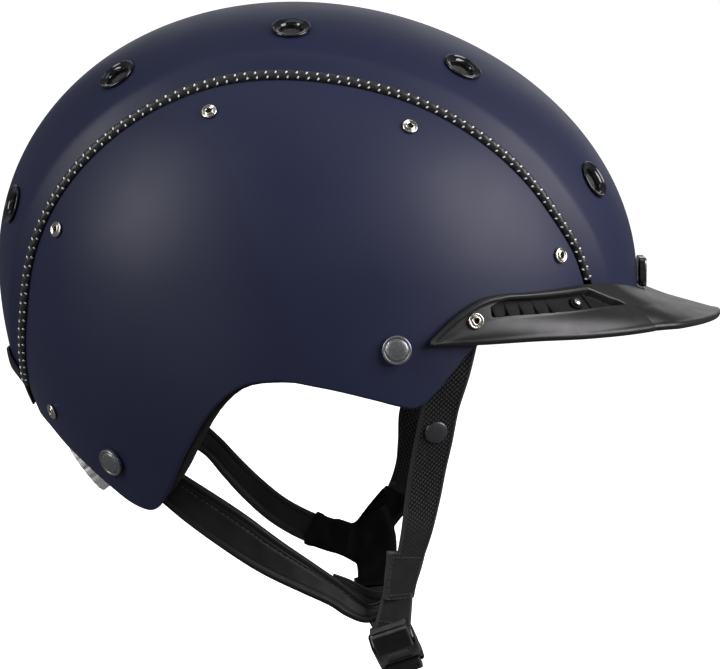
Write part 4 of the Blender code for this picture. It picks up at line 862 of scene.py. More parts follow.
def vent(word, name, turn, angle):
    """A gloss ring with a rolled border and a raised throat, and a woven wire screen inside."""
    place = vent_place(turn, angle)
    flange = [*arc(7.5, 0.7, 0.52, -60, 150, 10), (6.85, 0.85), (6.3, 0.78), (5.7, 0.6), (5.1, 0.15),
              (4.75, -0.6), (4.55, -1.8), (4.5, -3.4), (4.6, -9.0), (5.6, -9.0), (5.6, 0.2)]
    ring = turned(flange, place, 64, ring=True)
    wires = []
    for k in np.arange(-5, 5.01) * WIRE_PITCH:
        reach = math.sqrt(max(SCREEN_RADIUS ** 2 - k * k, 0.04))
        way = np.linspace(-reach, reach, max(int(reach * 7), 4))
        wave = 0.14 * np.cos(math.pi * way / WIRE_PITCH + round(k / WIRE_PITCH) * math.pi)
        wires.append(wire(np.stack([way, 0 * way + k, SCREEN_LEVEL + wave], -1), WIRE_RADIUS))
        wires.append(wire(np.stack([0 * way + k, way, SCREEN_LEVEL - wave], -1), WIRE_RADIUS))
    back = turned([(4.55, -4.0), (4.55, -4.6)], place, 32)
    screen = placed(merged(wires), place)
    piece(f"vent_{name}_{word}_ring", "root",
          [("gloss", ring), ("screen", screen), ("plastic", back)],
          [f"vent_{name}_{word}"])


def wire(centre, radius, around=6):
    along = unit(np.gradient(centre, axis=0))
    side = unit(np.cross(along, np.array([0.0, 0.0, 1.0])))
    out = np.cross(side, along)
    turns = np.linspace(0, 2 * math.pi, around, endpoint=False)
    return tube(centre[:, None] + side[:, None] * (radius * np.cos(turns))[None, :, None]
                + out[:, None] * (radius * np.sin(turns))[None, :, None])


# ---------------------------------------------------------------- visor and badge
def visor_edge(azimuth):
    point = level_point(azimuth, hermite(VISOR_UPPER_EDGE, np.abs(azimuth)))
    return skin(point, VISOR_WALL + VISOR_CLEAR)


def visor_lip(azimuth):
    share = np.cos(np.radians(np.clip(np.abs(azimuth) * 90 / 70, 0, 90)))
    reach = VISOR_WALL + VISOR_CLEAR + 0.6 + VISOR_REACH * share ** 2.5
    height = hermite(VISOR_LIP, np.abs(azimuth))
    lip = skin(level_point(azimuth, height))
    lip = lip + unit(lip * np.array([1, 1, 0])) * reach[..., None]
    return np.stack([lip[..., 0], lip[..., 1], height], -1)


def visor_point(azimuth, share):
    azimuth = np.array([azimuth], float)
    edge, lip = visor_edge(azimuth)[0], visor_lip(azimuth)[0]
    return edge + (lip - edge) * share


def visor_normal(azimuth, share):
    across = visor_point(azimuth + 1, share) - visor_point(azimuth - 1, share)
    down = visor_point(azimuth, share + 0.05) - visor_point(azimuth, share - 0.05)
    return unit(np.cross(down, across))


SLOT_START, SLOT_END, SLOT_TOP, SLOT_BOTTOM = 24.2, 53.6, 0.105, 0.462
RIBS_START, RIBS_END, RIB_PITCH = 37.4, 52.9, 3.1
CROSS_WALL_AT, CROSS_WALL_HEIGHT = 31.4, 0.8


def visor_slot(away, share):
    """How far inside the side slot a place is, the slot's upper border, and how far down the slot it is."""
    front_taper = 0.37 * np.clip((30.4 - away) / 6.0, 0, 1)
    upper = SLOT_TOP + front_taper + 0.1 * np.clip((away - 49.5) / 4.0, 0, 1) ** 2
    lower = SLOT_BOTTOM - 0.03 * np.clip((away - 51.0) / 2.5, 0, 1) ** 2
    inside = (smooth((share - upper) / 0.02) * smooth((lower - share) / 0.022)
              * smooth((away - SLOT_START) / 0.5) * smooth((SLOT_END - away) / 0.45))
    down = np.clip((share - upper) / np.maximum(lower - upper, 0.02), 0, 1)
    return inside, upper, down


def visor_relief(away, share, height):
    """Relief of the visor's outer face: border beads, the side slot and its slanted ribs."""
    inside, upper, down = visor_slot(away, share)
    follow = smooth((52.5 - away) / 2.5)
    ridge = 1.0 + follow * (np.maximum(upper * height - 1.05, 0.9) - 1.0)
    from_top, from_lip = share * height, (1 - share) * height
    bead = 0.62 * np.exp(-((from_top - ridge) / 0.85) ** 2) * smooth((away - SLOT_START) / 1.6)
    lip = 0.3 * np.exp(-((from_lip - 0.8) / 0.6) ** 2)
    belly = 0.8 * np.sin(math.pi * np.clip((share - 0.5) / 0.5, 0, 1)) * smooth((away - 8) / 20)
    tooth = ((away - RIBS_START - 0.2) / RIB_PITCH) % 1.0
    ribbed = smooth((away - RIBS_START) / 0.4) * smooth((RIBS_END - away) / 0.4)
    fin = ribbed * smooth(tooth * 1.1) * smooth((1 - tooth) / 0.1) * (0.06 + 0.6 * down ** 2.2)
    wall = smooth((0.4 - np.abs(away - CROSS_WALL_AT)) / 0.2) * CROSS_WALL_HEIGHT
    depth = SLOT_DEPTH * (1 - fin) - wall
    screw_pad = ((away - VISOR_SCREW[0]) * 1.9) ** 2 + ((share - VISOR_SCREW[1]) * height) ** 2
    depth = np.where(screw_pad < 2.4 ** 2, VISOR_RECESS + 0.3, depth)
    return bead + lip + belly - inside * depth


def visor():
    window = np.linspace(22.5, 54.4, 250)
    azimuth = np.concatenate([[-VISOR_SPAN], np.linspace(-65.9, -54.7, 30), -window[::-1],
                              np.linspace(-22, 22, 80), window, np.linspace(54.7, 65.9, 30), [VISOR_SPAN]])
    share = np.concatenate([[0, 0.008], np.linspace(0.02, 0.15, 13), np.linspace(0.165, 0.42, 17),
                            np.linspace(0.43, 0.5, 8), np.linspace(0.53, 0.94, 14),
                            [0.965, 0.985, 1.0]])[:, None]
    edge, lip = visor_edge(azimuth), visor_lip(azimuth)
    base = edge[None] + (lip - edge)[None] * share[..., None]
    normal = grid_normal(base)
    outward = dome_normal(level_point(azimuth, (edge[:, 2] + lip[:, 2]) / 2)) + np.array([0, 0, 0.6])
    normal = normal * np.sign((normal * outward).sum(-1, keepdims=True))
    height = np.linalg.norm(lip - edge, axis=-1)[None]
    relief = visor_relief(np.abs(azimuth)[None] + 0 * share, share + 0 * azimuth[None], height)
    grid = base + normal * relief[..., None]
    inside = visor_slot(np.abs(azimuth)[None] + 0 * share, share + 0 * azimuth[None])[0]
    inner = base - normal * (VISOR_WALL + (SLOT_DEPTH - 1.7) * inside)[..., None]
    sheet = thick_sheet(grid, VISOR_WALL, outward, 0.7, inner=inner)
    peak = piece("visor_peak", "root", [("satin", sheet)], ["visor"], sharp=50)
    # Faces well inside the side slot take the darker finish: painted shade for the recess.
    slot_shade_faces = inside.ravel() > 0.7
    peak.data.materials.append(PAINT["slot"])
    for face in peak.data.polygons:
        if all(v < len(slot_shade_faces) and slot_shade_faces[v] for v in face.vertices):
            face.material_index = 1


def visor_fasteners(word, side):
    place = seat_at(visor_point(*VISOR_EYELET), visor_normal(*VISOR_EYELET), side)
    eyelet(f"strap_screw_{word}", "head", place, 0.75)
    normal = visor_normal(*VISOR_SCREW)
    place = seat_at(visor_point(*VISOR_SCREW) - normal * VISOR_RECESS, normal, side)
    head = [(0.35, 0.7), (0.42, 1.2), (0.9, 1.15), (1.3, 0.98), *arc(1.3, 0.6, 0.3, 60, -30, 5), (1.5, 0.0),
            (1.2, -0.4), (1.2, -6)]
    piece(f"visor_screw_{word}_head", "root", [("nickel", turned(head, place, 36))],
          [f"visor_screw_{word}"])


def rounded_rectangle(half_x, half_y, radius, per_corner=6):
    points = []
    for cx, cy, start in ((1, 1, 0), (-1, 1, 90), (-1, -1, 180), (1, -1, 270)):
        for a in np.radians(np.linspace(start, start + 90, per_corner)):
            points.append((cx * (half_x - radius) + radius * math.cos(a),
                           cy * (half_y - radius) + radius * math.sin(a)))
    return np.array(points)


def badge():
    """A plain plate with a rolled bright border."""
    half_wide, half_high, corner = 12, 6, 2.2
    seat = skin(np.array([[1.0, 0.0, 0.0]]))[0]
    place = frame_at((seat[0] + 0.6, 0, -0.2), (1, 0, 0), along=(0, 1, 0))

    def loft(levels):
        rings = []
        for inset, height in levels:
            ring = rounded_rectangle(half_wide - inset, half_high - inset, max(corner - inset, 0.4))
            rings.append(np.column_stack([ring, np.full(len(ring), height)]))
        return placed(tube(np.array(rings)), place)

    rim = loft([(0.5, 0.0), (0.05, 0.3), (0, 0.8), (0, 2.2), (0.12, 2.7), (0.4, 2.98), (0.75, 2.98),
                (1.0, 2.75), (1.1, 2.35), (1.12, 1.9)])
    plate = loft([(1.05, 1.6), (1.08, 2.2), (1.3, 2.36), (2.2, 2.42), (3.6, 2.46), (3.9, 2.36),
                  (4.15, 2.46)])
    piece("front_badge_plate", "root", [("dark", rim), ("gloss", plate)], ["front_badge"])


# ---------------------------------------------------------------- chin straps
# Each strap's middle line, from its end in the foam, with its width at every point. The facings, from the
# first end to the last, say which way its outer face looks. They are given for the left side.
FRONT_LINES = {
    "right": [(57.9, -88.5, -15.0), (56.1, -88.0, -24.1), (53.8, -87.0, -34.2), (49.5, -83.5, -48.9),
              (47.0, -79.0, -62.9), (45.1, -75.5, -72.5), (42.6, -70.5, -88.0), (40.0, -67.0, -102.6),
              (37.3, -65.0, -113.0), (34.5, -64.0, -121.3), (32.7, -62.5, -128.4)],
    "left": [(57.7, 86.0, -31.7), (55.1, 85.5, -40.4), (51.1, 84.0, -49.9), (45.9, 82.0, -58.5),
             (42.3, 80.0, -67.1), (41.4, 77.0, -79.0), (40.1, 74.0, -89.7), (36.6, 71.0, -98.9),
             (30.9, 68.0, -107.3), (22.7, 66.0, -117.1)]}
FRONT_WIDTHS = {"right": [15.6, 15.6, 15.6, 15.6, 15.6, 15.4, 15.0, 13.6, 12.2, 12.0, 12.0],
                "left": [15.6, 15.6, 15.6, 15.6, 15.6, 15.4, 15.0, 14.0, 12.5, 12.0]}
REAR_LINES = {
    "right": [(-79.4, -60.0, -73.8), (-67.2, -61.5, -78.1), (-59.9, -63.0, -82.8), (-49.8, -64.3, -90.0),
              (-35.3, -65.3, -100.0), (-18.6, -65.0, -111.6), (-1.9, -63.5, -121.5), (8.6, -62.0, -127.8),
              (14.7, -61.0, -132.3), (20.7, -60.5, -134.9), (26.0, -61.2, -133.4), (30.0, -61.6, -129.5)],
    "left": [(-68.6, 58.0, -61.5), (-59.3, 61.0, -69.6), (-51.6, 63.0, -75.9), (-46.1, 64.0, -80.5),
             (-38.3, 65.0, -89.3), (-29.3, 65.5, -98.7), (-17.2, 65.5, -108.8), (-6.3, 65.0, -114.8),
             (4.9, 64.5, -119.1), (13.2, 64.0, -121.2)]}
REAR_WIDTHS = {"right": [14.5, 14.5, 15.0, 16.4, 17.0, 15.6, 13.0, 11.2, 10.6, 9.4, 7.4, 6.0],
               "left": [12.0, 12.0, 11.2, 10.4, 10.9, 11.7, 12.5, 13.0, 13.0, 13.0]}
REAR_FACINGS = {"right": [(-0.35, 1, -0.1), (-0.2, 1, -0.1), (0.1, 1, -0.1), (0.25, 1, 0.1), (0.2, 1, 0.45),
                          (0.1, 1, 0.8)],
                "left": [(-0.35, 1, -0.1), (-0.2, 1, -0.1), (0.1, 1, -0.1), (0.25, 1, -0.05)]}
TRUNK_LINE = [(18.6, 65.6, -111.5), (23.2, 64.5, -119.5), (24.6, 61.5, -129.5), (24.0, 53.5, -140.5)]
CHIN_LINE = [(21.6, 59.0, -135.5), (22.6, 55.0, -140.0), (25.2, 45.0, -146.0), (29.8, 26.0, -153.2),
             (33.4, 6.0, -159.0)]
LINK_LINE = [(33.0, -61.8, -125.0), (32.5, -62.4, -129.4), (31.6, -63.0, -135.0), (30.8, -63.4, -140.3),
             (30.6, -63.2, -143.5)]
CLOSE_STEP = 0.4
# Places along a strap's line, where the patch and the cover's two arms begin, and where the seam ends.
LINE_POINTS, PATCH_FROM, FRONT_ARM_FROM, REAR_ARM_FROM, SEAM_END = 120, 99, 94, 99, 104


def weave(s, u, half):
    """Diagonal open weave with a plain border, which fades out near the strap's lower end."""
    inner = smooth((half - np.abs(u) - 1.3) / 0.5) * (0.25 + 0.75 * smooth((s.max() - 26 - s) / 12))
    p, q = (0.5 * s - 0.87 * u) / 1.3, (0.87 * s + 0.5 * u) / 1.5
    rows = 0.5 + 0.5 * np.cos(2 * math.pi * p)
    bumps = 0.5 + 0.5 * np.cos(2 * math.pi * q)
    border = 0.05 * np.cos(2 * math.pi * s / 0.9) * (1 - inner)
    return 0.6 * inner * (rows * (0.3 + 0.7 * bumps)) - 0.34 * inner + border


def plain_weave(s, u, half):
    """Close ribbed webbing: fine cross ribs, flattened at both borders."""
    inner = smooth((half - np.abs(u) - 1.0) / 0.5)
    return 0.14 * inner * np.cos(2 * math.pi * s / 1.3) * np.cos(2 * math.pi * u / 1.6)


def folded(s, u, half):
    """Folded leather: a full upper border with a pressed seam below it, and a softer lower border."""
    border = 0.42 * np.exp(-((half - np.abs(u) - 1.3) / 1.1) ** 2)
    seam = -0.3 * np.exp(-((-u - (half * 0.42)) / 0.4) ** 2)
    fold = -0.2 * np.exp(-((np.abs(u) - (half - 2.9)) / 0.35) ** 2)
    creases = 0.05 * np.sin(s / 5.3 + 0.3 * u) + 0.035 * np.sin(s / 2.1 - 0.5 * u)
    return border + seam + fold + creases * (1 - (u / half) ** 2)


def spread(values, count):
    """Values at knots, turned into count smooth values."""
    values = np.asarray(values, float)
    if values.ndim == 1:
        return hermite(list(enumerate(values)), np.linspace(0, len(values) - 1, count))
    return np.stack([spread(values[:, k], count) for k in range(values.shape[1])], -1)


def even_line(points, widths, count=LINE_POINTS):
    """A smooth line with its widths, which keep to their own points."""
    points = np.asarray(points, float)
    chord = run(points)
    return spline(points, count), hermite(list(zip(chord, widths)), np.linspace(0, chord[-1], count))


def hinge_direction(side):
    return unit(mirrored(FRONT_EXIT, side) - mirrored(REAR_EXIT, side))


def buckle_axes():
    """Pull-out direction of the clip, width direction, and outward face of the buckle."""
    parting = sum(np.cross(hinge_direction(side), BUCKLE_CENTRE - mirrored(FRONT_EXIT, side))
                  for side in SIDES.values())
    pull = unit(parting)
    across = unit(hinge_direction(-1) + hinge_direction(1))
    return pull, across, np.cross(pull, across)


def buckle_place():
    pull, across, face = buckle_axes()
    return np.stack([pull, across, face], -1), BUCKLE_CENTRE


def along_frame(line, facing):
    along = unit(np.gradient(line, axis=0))
    side = unit(np.cross(along, facing))
    return along, side, np.cross(side, along)


def stitch_row(line, facing, offset, lift, pitch=2.4, size=(0.75, 0.2, 0.16)):
    """Stitches along a strap's face, at an offset from its middle line."""
    along, side, out = along_frame(line, facing)
    row = line + side * np.reshape(offset, (-1, 1)) + out * lift
    pick = np.linspace(0, len(line) - 1, max(int(gaps(row).sum() / pitch), 3)).round().astype(int)[1:-1]
    return beads(row[pick], along[pick], out[pick], size)


def cross_rows(line, facing, places, width, lift, slant=0.0, pitch=1.1):
    """Rows of stitches across a strap at the given indices of its line."""
    along, side, out = along_frame(line, facing)
    spots, aims, outs = [], [], []
    for at in places:
        for k, u in enumerate(np.arange(-width / 2 + 1.0, width / 2 - 0.6, pitch)):
            spots.append(line[at] + side[at] * u + out[at] * lift)
            aims.append(side[at] + along[at] * slant * (1 if k % 2 else -1))
            outs.append(out[at])
    return beads(np.array(spots), np.array(aims), np.array(outs), (pitch * 0.42, 0.2, 0.16))


def hung(obj):
    """Applies the strap's placement to its mesh."""
    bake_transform(obj)


def loop_round(turn_at, away, place, sign):
    """The middle line of webbing that folds round a bar of the buckle, in the buckle's own plane."""
    flat = [(away, 1.0), (turn_at + 5.0, 3.4), (turn_at + 2.0, 5.1), (turn_at - 0.6, 5.2),
            (turn_at - 2.3, 3.7), (turn_at - 2.8, 0.0), (turn_at - 2.3, -3.7), (turn_at - 0.6, -5.2),
            (turn_at + 2.0, -5.1), (turn_at + 5.0, -3.4), (away, -1.0)]
    line = spline(np.array([(x * sign, 0.0, z) for x, z in flat]), 120)
    along = unit(np.gradient(line, axis=0))
    facing = np.stack([along[:, 2], 0 * along[:, 0], -along[:, 0]], -1) * -sign
    turn, shift = place
    return line @ turn.T + shift, facing @ turn.T


def front_line(word):
    line, width = even_line(FRONT_LINES[word], FRONT_WIDTHS[word])
    twist = spread([0.1, 0.15, 0.2, 0.25, 0.35, 0.5, 0.55], len(line))
    facing = np.stack([twist, 1 + 0 * twist, -0.12 * twist], -1)
    return line, width, mirrored(facing, SIDES[word])


def front_strap(word):
    line, width, facing = front_line(word)
    parts = [("web", strap(line, facing, width, WEB_THICK, weave))]
    if word == "right":
        out = facing[PATCH_FROM:]
        low = line[PATCH_FROM:] + np.linspace((-2.2, 0.0, -0.2), (0.5, 0.0, -0.2), len(out))
        patch = strap(low, out, np.linspace(17.4, 13.6, len(out)), 3.4, plain_weave, CLOSE_STEP)
        parts.append(("web", patch))
        for offset in (6.4, -6.0):
            parts.append(("thread", stitch_row(low, out, offset, 1.78, 1.9)))
        parts.append(("thread", cross_rows(low, out, (2, 18), 12.0, 1.78)))
    obj = piece(f"front_strap_{word}_web", None, parts, [f"front_strap_{word}", f"front_tab_{word}"],
                sharp=70)
    hung(obj)
    if word == "right":
        buckle_webbing("right", sign=-1, turn_at=19.9, away=31.0, width=15.2, tail=LINK_LINE)


def buckle_webbing(word, sign, turn_at, away, width, tail=None):
    """The webbing's end, folded round the buckle's bar and sewn back on itself."""
    place = buckle_place()
    loop, out = loop_round(turn_at, away, place, sign)
    parts = [("web", strap(loop, out, width, 1.5, plain_weave, CLOSE_STEP)),
             ("thread", cross_rows(loop, out, (33,), width, 0.8, 0.9, 0.85))]
    if tail is not None:
        link = spline(tail, 60)
        facing = spread([(0.15, -1, -0.1), (0.1, -1, -0.1), (0, -1, -0.2)], 60)
        spans = np.linspace(12.0, width, 60)
        parts.append(("web", strap(link, facing, spans, 2.2, plain_weave, CLOSE_STEP)))
        parts.append(("thread", cross_rows(link, facing, (44, 52), width, 1.15, 0.9, 0.85)))
    piece(f"buckle_webbing_{word}", f"straps_{word}", parts, sharp=70)


def rear_strap(word, side):
    line, width = even_line(REAR_LINES[word], REAR_WIDTHS[word])
    facing = mirrored(spread(REAR_FACINGS[word], len(line)), side)
    thick = np.linspace(2.3, 2.1, len(line))
    parts = [("leather", strap(line, facing, width, thick, folded, 0.55, 0.35))]
    upper = -0.42 * width / 2
    parts.append(("thread", stitch_row(line[:SEAM_END], facing[:SEAM_END], upper[:SEAM_END], 0.93)))
    if word == "right":
        inner = spline([(6.0, -58.5, -122.0), (12.6, -58.2, -124.5), (18.3, -58.0, -127.6),
                        (24.8, -58.5, -129.6), (30.5, -59.5, -128.5)], 40)
        parts.append(("leather", strap(inner, (0.1, -1, 0.5), 6.0, 2.0, folded, 0.55, 0.35)))
    obj = piece(f"rear_strap_{word}_leather", None, parts, [f"rear_strap_{word}", f"rear_tab_{word}"],
                sharp=70)
    hung(obj)


def strap_stud(word, side):
    line, _, facing = front_line(word)
    out = along_frame(line, facing)[2]
    at = np.argmin(np.linalg.norm(line - (mirrored(FRONT_EXIT, side) + STUD_SHIFT), axis=1))
    place = frame_at(line[at] + out[at] * (WEB_THICK / 2 + 0.1), out[at])
    profile = [(0.5, 1.5), (1.8, 1.45), (3.0, 1.28), (3.9, 0.95), *arc(4.2, 0.42, 0.42, 60, -40, 6),
               (4.3, -0.1), (2.6, -0.3)]
    piece(f"strap_stud_{word}_cap", f"straps_{word}", [("stud", turned(profile, place, 56))],
          [f"strap_stud_{word}"])


def wrinkled(s, u, half):
    return 0.35 * np.sin(s / 2.3 + u / 3.1) * (1 - (u / half) ** 2)


def junction_cover():
    """The soft sewn sheath over the place where the left straps meet, with a cuff on each arm."""
    front, _, facing = front_line("left")
    front, facing = front[FRONT_ARM_FROM:], facing[FRONT_ARM_FROM:]
    rear, _ = even_line(REAR_LINES["left"], REAR_WIDTHS["left"])
    out = (0.15, 1.0, -0.1)
    front_web = spline([(33, 69.0, -103.5), (27, 67.3, -110.5), (20, 65.0, -119.5)], 20)
    rear_web = spline([(5.0, 64.5, -118.6), (13.0, 64.3, -121.5), (19.5, 63.6, -125.0)], 20)
    arms = [(front, facing, np.linspace(14.2, 13.0, len(front)), 4.2, wrinkled),
            (front[:5], facing[:5], 15.6, 5.0, None), (rear[REAR_ARM_FROM:], out, 14.6, 4.2, wrinkled),
            (rear[REAR_ARM_FROM - 1:REAR_ARM_FROM + 4], out, 15.6, 5.0, None),
            (front_web, out, 14.5, 4.4, wrinkled),
            (rear_web, out, 15.0, 4.0, wrinkled),
            (spline(TRUNK_LINE, 40), out, np.linspace(22.0, 15.0, 40), 4.8, wrinkled)]
    obj = new_object("junction_cover_left", merged([strap(*arm, 0.8) for arm in arms]))
    remesh = obj.modifiers.new("remesh", "REMESH")
    remesh.mode, remesh.voxel_size = "VOXEL", 0.6 * MM
    relax = obj.modifiers.new("relax", "SMOOTH")
    relax.factor, relax.iterations = 0.5, 8
    # The cover's finish is black with painted shade, darker than the straps.
    finished(repainted(baked(obj), "cover"), "straps_left", sharp=80)


def chin_strap():
    pull, _, face = buckle_axes()
    end = BUCKLE_CENTRE + pull * 24.0 + face * 0.4
    line = spline([*CHIN_LINE, tuple(end), tuple(end - pull * 3.0)], 90)
    facing = spread([(0.15, 1, 0), (0, 0.8, -0.5), (0, 0.4, -0.9), (0.1, -0.1, -1), face], 90)
    parts = [("web", strap(line, facing, 14.4, 1.8, plain_weave))]
    piece("chin_strap_web", "straps_left", parts, ["chin_strap"], sharp=70)
    buckle_webbing("left", sign=1, turn_at=12.6, away=23.0, width=14.8)


# ---------------------------------------------------------------- buckle
def matrix_of(place):
    turn, shift = place
    return Matrix.Translation(Vector(shift) * MM) @ Matrix(turn.tolist()).to_4x4()


def block(low, high, place, bevel=0.0, segments=3):
    """A box in the buckle's axes, drawn for its drawn width and narrowed to the real one."""
    bpy.ops.mesh.primitive_cube_add(size=1)
    obj = bpy.context.object
    narrow = Vector((1, BUCKLE_WIDTH / BUCKLE_DRAWN_WIDTH, 1))
    low, high = Vector(low) * narrow * MM, Vector(high) * narrow * MM
    obj.data.transform(Matrix.Translation((low + high) / 2) @ Matrix.Diagonal((*(high - low), 1)))
    obj.matrix_world = matrix_of(place)
    if bevel:
        add_bevel(obj, bevel, segments)
    return obj


def add_bevel(obj, width, segments=3, angle=40):
    edge = obj.modifiers.new("edge", "BEVEL")
    edge.width, edge.segments = width * MM, segments
    edge.limit_method, edge.angle_limit = "ANGLE", math.radians(angle)


def moulded(obj, name, body, node):
    """Finishes one of the buckle's bodies."""
    obj.name = name
    return finished(repainted(obj, "buckle"), body, [node], sharp=42)


def buckle_socket():
    place = buckle_place()
    w, t = BUCKLE_WIDTH / 2, BUCKLE_THICK / 2
    body = baked(block((-22, -w, -t), (2, w, t), place, 2.0, 5))
    combine(body, [block((-15.5, -w + 2.1, -t + 1.6), (6, w - 2.1, t - 1.6), place),
                   block((-12, -w - 3, -2.0), (-2.5, w + 3, 2.0), place, 0.8),
                   block((-20.5, -10, -t - 2), (-17.6, 10, t + 2), place, 0.4)])
    for sign in (1, -1):
        combine(body, [block((-13.5, -w + 4.5, sign * (t + 1) - 1.4), (-0.5, w - 4.5, sign * (t + 1) + 1.4),
                             place, 1.0)])
    add_bevel(body, 0.28, 2)
    moulded(baked(body), "buckle_socket_shell", "straps_right", "buckle_socket")


def buckle_clip():
    place = buckle_place()
    w = BUCKLE_WIDTH / 2
    body = baked(block((2.6, -w, -3.0), (14.0, w, 3.0), place, 1.2, 4))
    combine(body, [block((-13.5, -3.2, -1.5), (4.0, 3.2, 1.5), place, 0.5)], "UNION")
    combine(body, [block((8.0, -10, -6), (11.5, 10, 6), place, 0.4)])
    seats = [block((1.0, low, -2.2), (5.2, high, 2.2), place) for low, high in ((4.2, 14.6), (-14.6, -4.2))]
    combine(body, seats)
    for x in (5.9, 6.9):
        combine(body, [block((x, -9, 2.75), (x + 0.45, 9, 4), place),
                       block((x, -9, -4), (x + 0.45, 9, -2.75), place)])
    add_bevel(body, 0.2, 2)
    moulded(baked(body), "buckle_clip_frame", "straps_left", "buckle_clip")


def buckle_prong(word, sign):
    place = buckle_place()
    lead = baked(block((-12.8, 6.4, -1.5), (4.7, 9.0, 1.5), place, 0.5))
    combine(lead, [block((-9.5, 8.0, -1.5), (-4.0, 9.9, 1.5), place, 0.7)], "UNION")
    for x in (-8.4, -7.2, -6.0):
        combine(lead, [block((x, 9.6, -3), (x + 0.5, 12, 3), place)])
    if sign < 0:
        to_local = matrix_of(place)
        lead.data.transform(to_local @ Matrix.Diagonal((1, -1, 1, 1)) @ to_local.inverted())
        lead.data.flip_normals()
    moulded(lead, f"buckle_prong_{word}_arm", f"prong_{word}", f"buckle_prong_{word}")


# ---------------------------------------------------------------- lining
def pad(node, ending, body, shape, finish="knit", sharp=75):
    made = piece(f"{node}_{ending}", body, [(finish, shape)], [node], sharp)


def foam_thickness(direction):
    height = on_dome(np.zeros(3), unit(direction))[..., 2]
    return FOAM_RIM + (FOAM_CROWN - FOAM_RIM) * smooth((height + 45) / 120)


def lining_point(direction, inset):
    """A point on the rider's side of the foam, this far in from it."""
    p = on_dome(np.zeros(3), unit(direction))
    return p - dome_normal(p) * (SHELL_WALL + FOAM_GAP + foam_thickness(direction) + inset)[..., None]


def foam_liner():
    around, down = 150, 44
    azimuth = np.linspace(-180, 180, around, endpoint=False)
    at_nape = np.clip((np.abs(azimuth) - 148) / 18, 0, 1)
    past = hermite([(86, 0), (97, 2.6), (108, 2.8), (116, 3.4), (124, 2.2), (131, 0)], np.abs(azimuth))
    edge = rim_point(azimuth, FOAM_RIM_LIFT + FOAM_NAPE_LIFT * at_nape - past)
    top = np.broadcast_to([lean(CROWN_HEIGHT), 0.0, CROWN_HEIGHT], edge.shape)
    outer, inner = [], []
    for share in np.linspace(0, 1, down + 1)[1:]:
        direction = slerp(top, edge, share)
        outer.append(skin(direction, -SHELL_WALL - FOAM_GAP))
        off_middle = np.degrees(np.arcsin(np.clip(unit(direction)[:, 1], -1, 1)))
        channel = 2.4 * np.exp(-((np.abs(off_middle) - 20) / 4.5) ** 2) * smooth((0.85 - share) / 0.2)
        inner.append(lining_point(direction, 0.15 - channel))
    outer, inner = np.array(outer), np.array(inner)
    middle, half = (outer[-1] + inner[-1]) / 2, (outer[-1] - inner[-1]) / 2
    away = unit(outer[-1] - outer[-2])
    lips = [middle + half * math.cos(a) + away * 1.1 * math.sin(a) for a in np.linspace(0, math.pi, 8)[1:-1]]
    rings = np.concatenate([outer, np.array(lips), inner[::-1]])
    pad("foam_liner", "block", "root", tube(rings), "foam", 70)


def headband_pad():
    """The sewn headband: soft sections between stitched channels."""
    section, end = 19.0, 114
    azimuth = np.linspace(-end, end, 260)
    away = np.abs(azimuth)
    low = hermite([(0, -10), (50, -14), (62, -33), (78, -38), (95, -33), (104, -32), (114, -36)], away)
    high = hermite([(0, 18), (60, 10), (114, -2)], away)
    bottom, top = level_point(azimuth, low), level_point(azimuth, high)
    inset = hermite([(0, 3.3), (48, 3.3), (60, 6.0), (114, 6.0)], away)
    seam = 1 - np.exp(-((((azimuth + section / 2) % section) - section / 2) / 1.3) ** 2)
    ends = smooth((end - away) / 3.0) * 0.85 + 0.15
    rings = []
    for t in np.linspace(0, 1, 26):
        direction = slerp(top, bottom, t)
        crown = (1 - abs(2 * t - 1) ** 3.2) ** 0.6
        fill = (0.55 + 3.35 * crown * (0.52 + 0.48 * seam)) * ends
        rings.append((lining_point(direction, inset - 0.1 * crown), lining_point(direction, inset + fill)))
    back, face = np.array([r[0] for r in rings]), np.array([r[1] for r in rings])
    loops = np.concatenate([back, face[::-1]]).transpose(1, 0, 2)
    pad("headband_pad", "sewn", "root", tube(loops))


def crown_pad():
    """The soft disc inside the crown, quilted in petals."""
    around, level, petal = 96, 2.6, 60
    turns = np.radians(np.linspace(0, 360, around, endpoint=False))
    petals = 1 - np.exp(-((((np.degrees(turns) + petal / 2) % petal) - petal / 2) / 4.0) ** 2)
    back, face = [], []
    for share in np.linspace(0.04, 1, 26):
        tilt = math.radians(90 - 36.0 * share)
        ring = np.stack([np.cos(turns) * math.cos(tilt) - 0.08, np.sin(turns) * math.cos(tilt) * 0.9,
                         np.full(around, math.sin(tilt))], -1)
        crown = (1 - share ** 5) ** 0.55
        hub = smooth((share - 0.1) / 0.18)
        fill = 0.4 + 4.3 * crown * (0.35 + 0.65 * hub * (0.45 + 0.55 * petals))
        back.append(lining_point(ring, level))
        face.append(lining_point(ring, level + fill))
    rings = np.concatenate([np.array(back), np.array(face)[::-1]])
    pad("crown_pad", "quilt", "root", tube(rings))


# ---------------------------------------------------------------- nape fitting
DIAL_AXIS = np.array((-math.cos(DIAL_TILT), 0, -math.sin(DIAL_TILT)))
BAND_CENTRE = BAND_MIDDLE - DIAL_AXIS * BAND_RADIUS


def band_spoke(degrees):
    turn = np.radians(np.asarray(degrees, float))[..., None]
    return DIAL_AXIS * np.cos(turn) + np.array((0, 1, 0)) * np.sin(turn)


def band_point(degrees, radius):
    return BAND_CENTRE + band_spoke(degrees) * radius


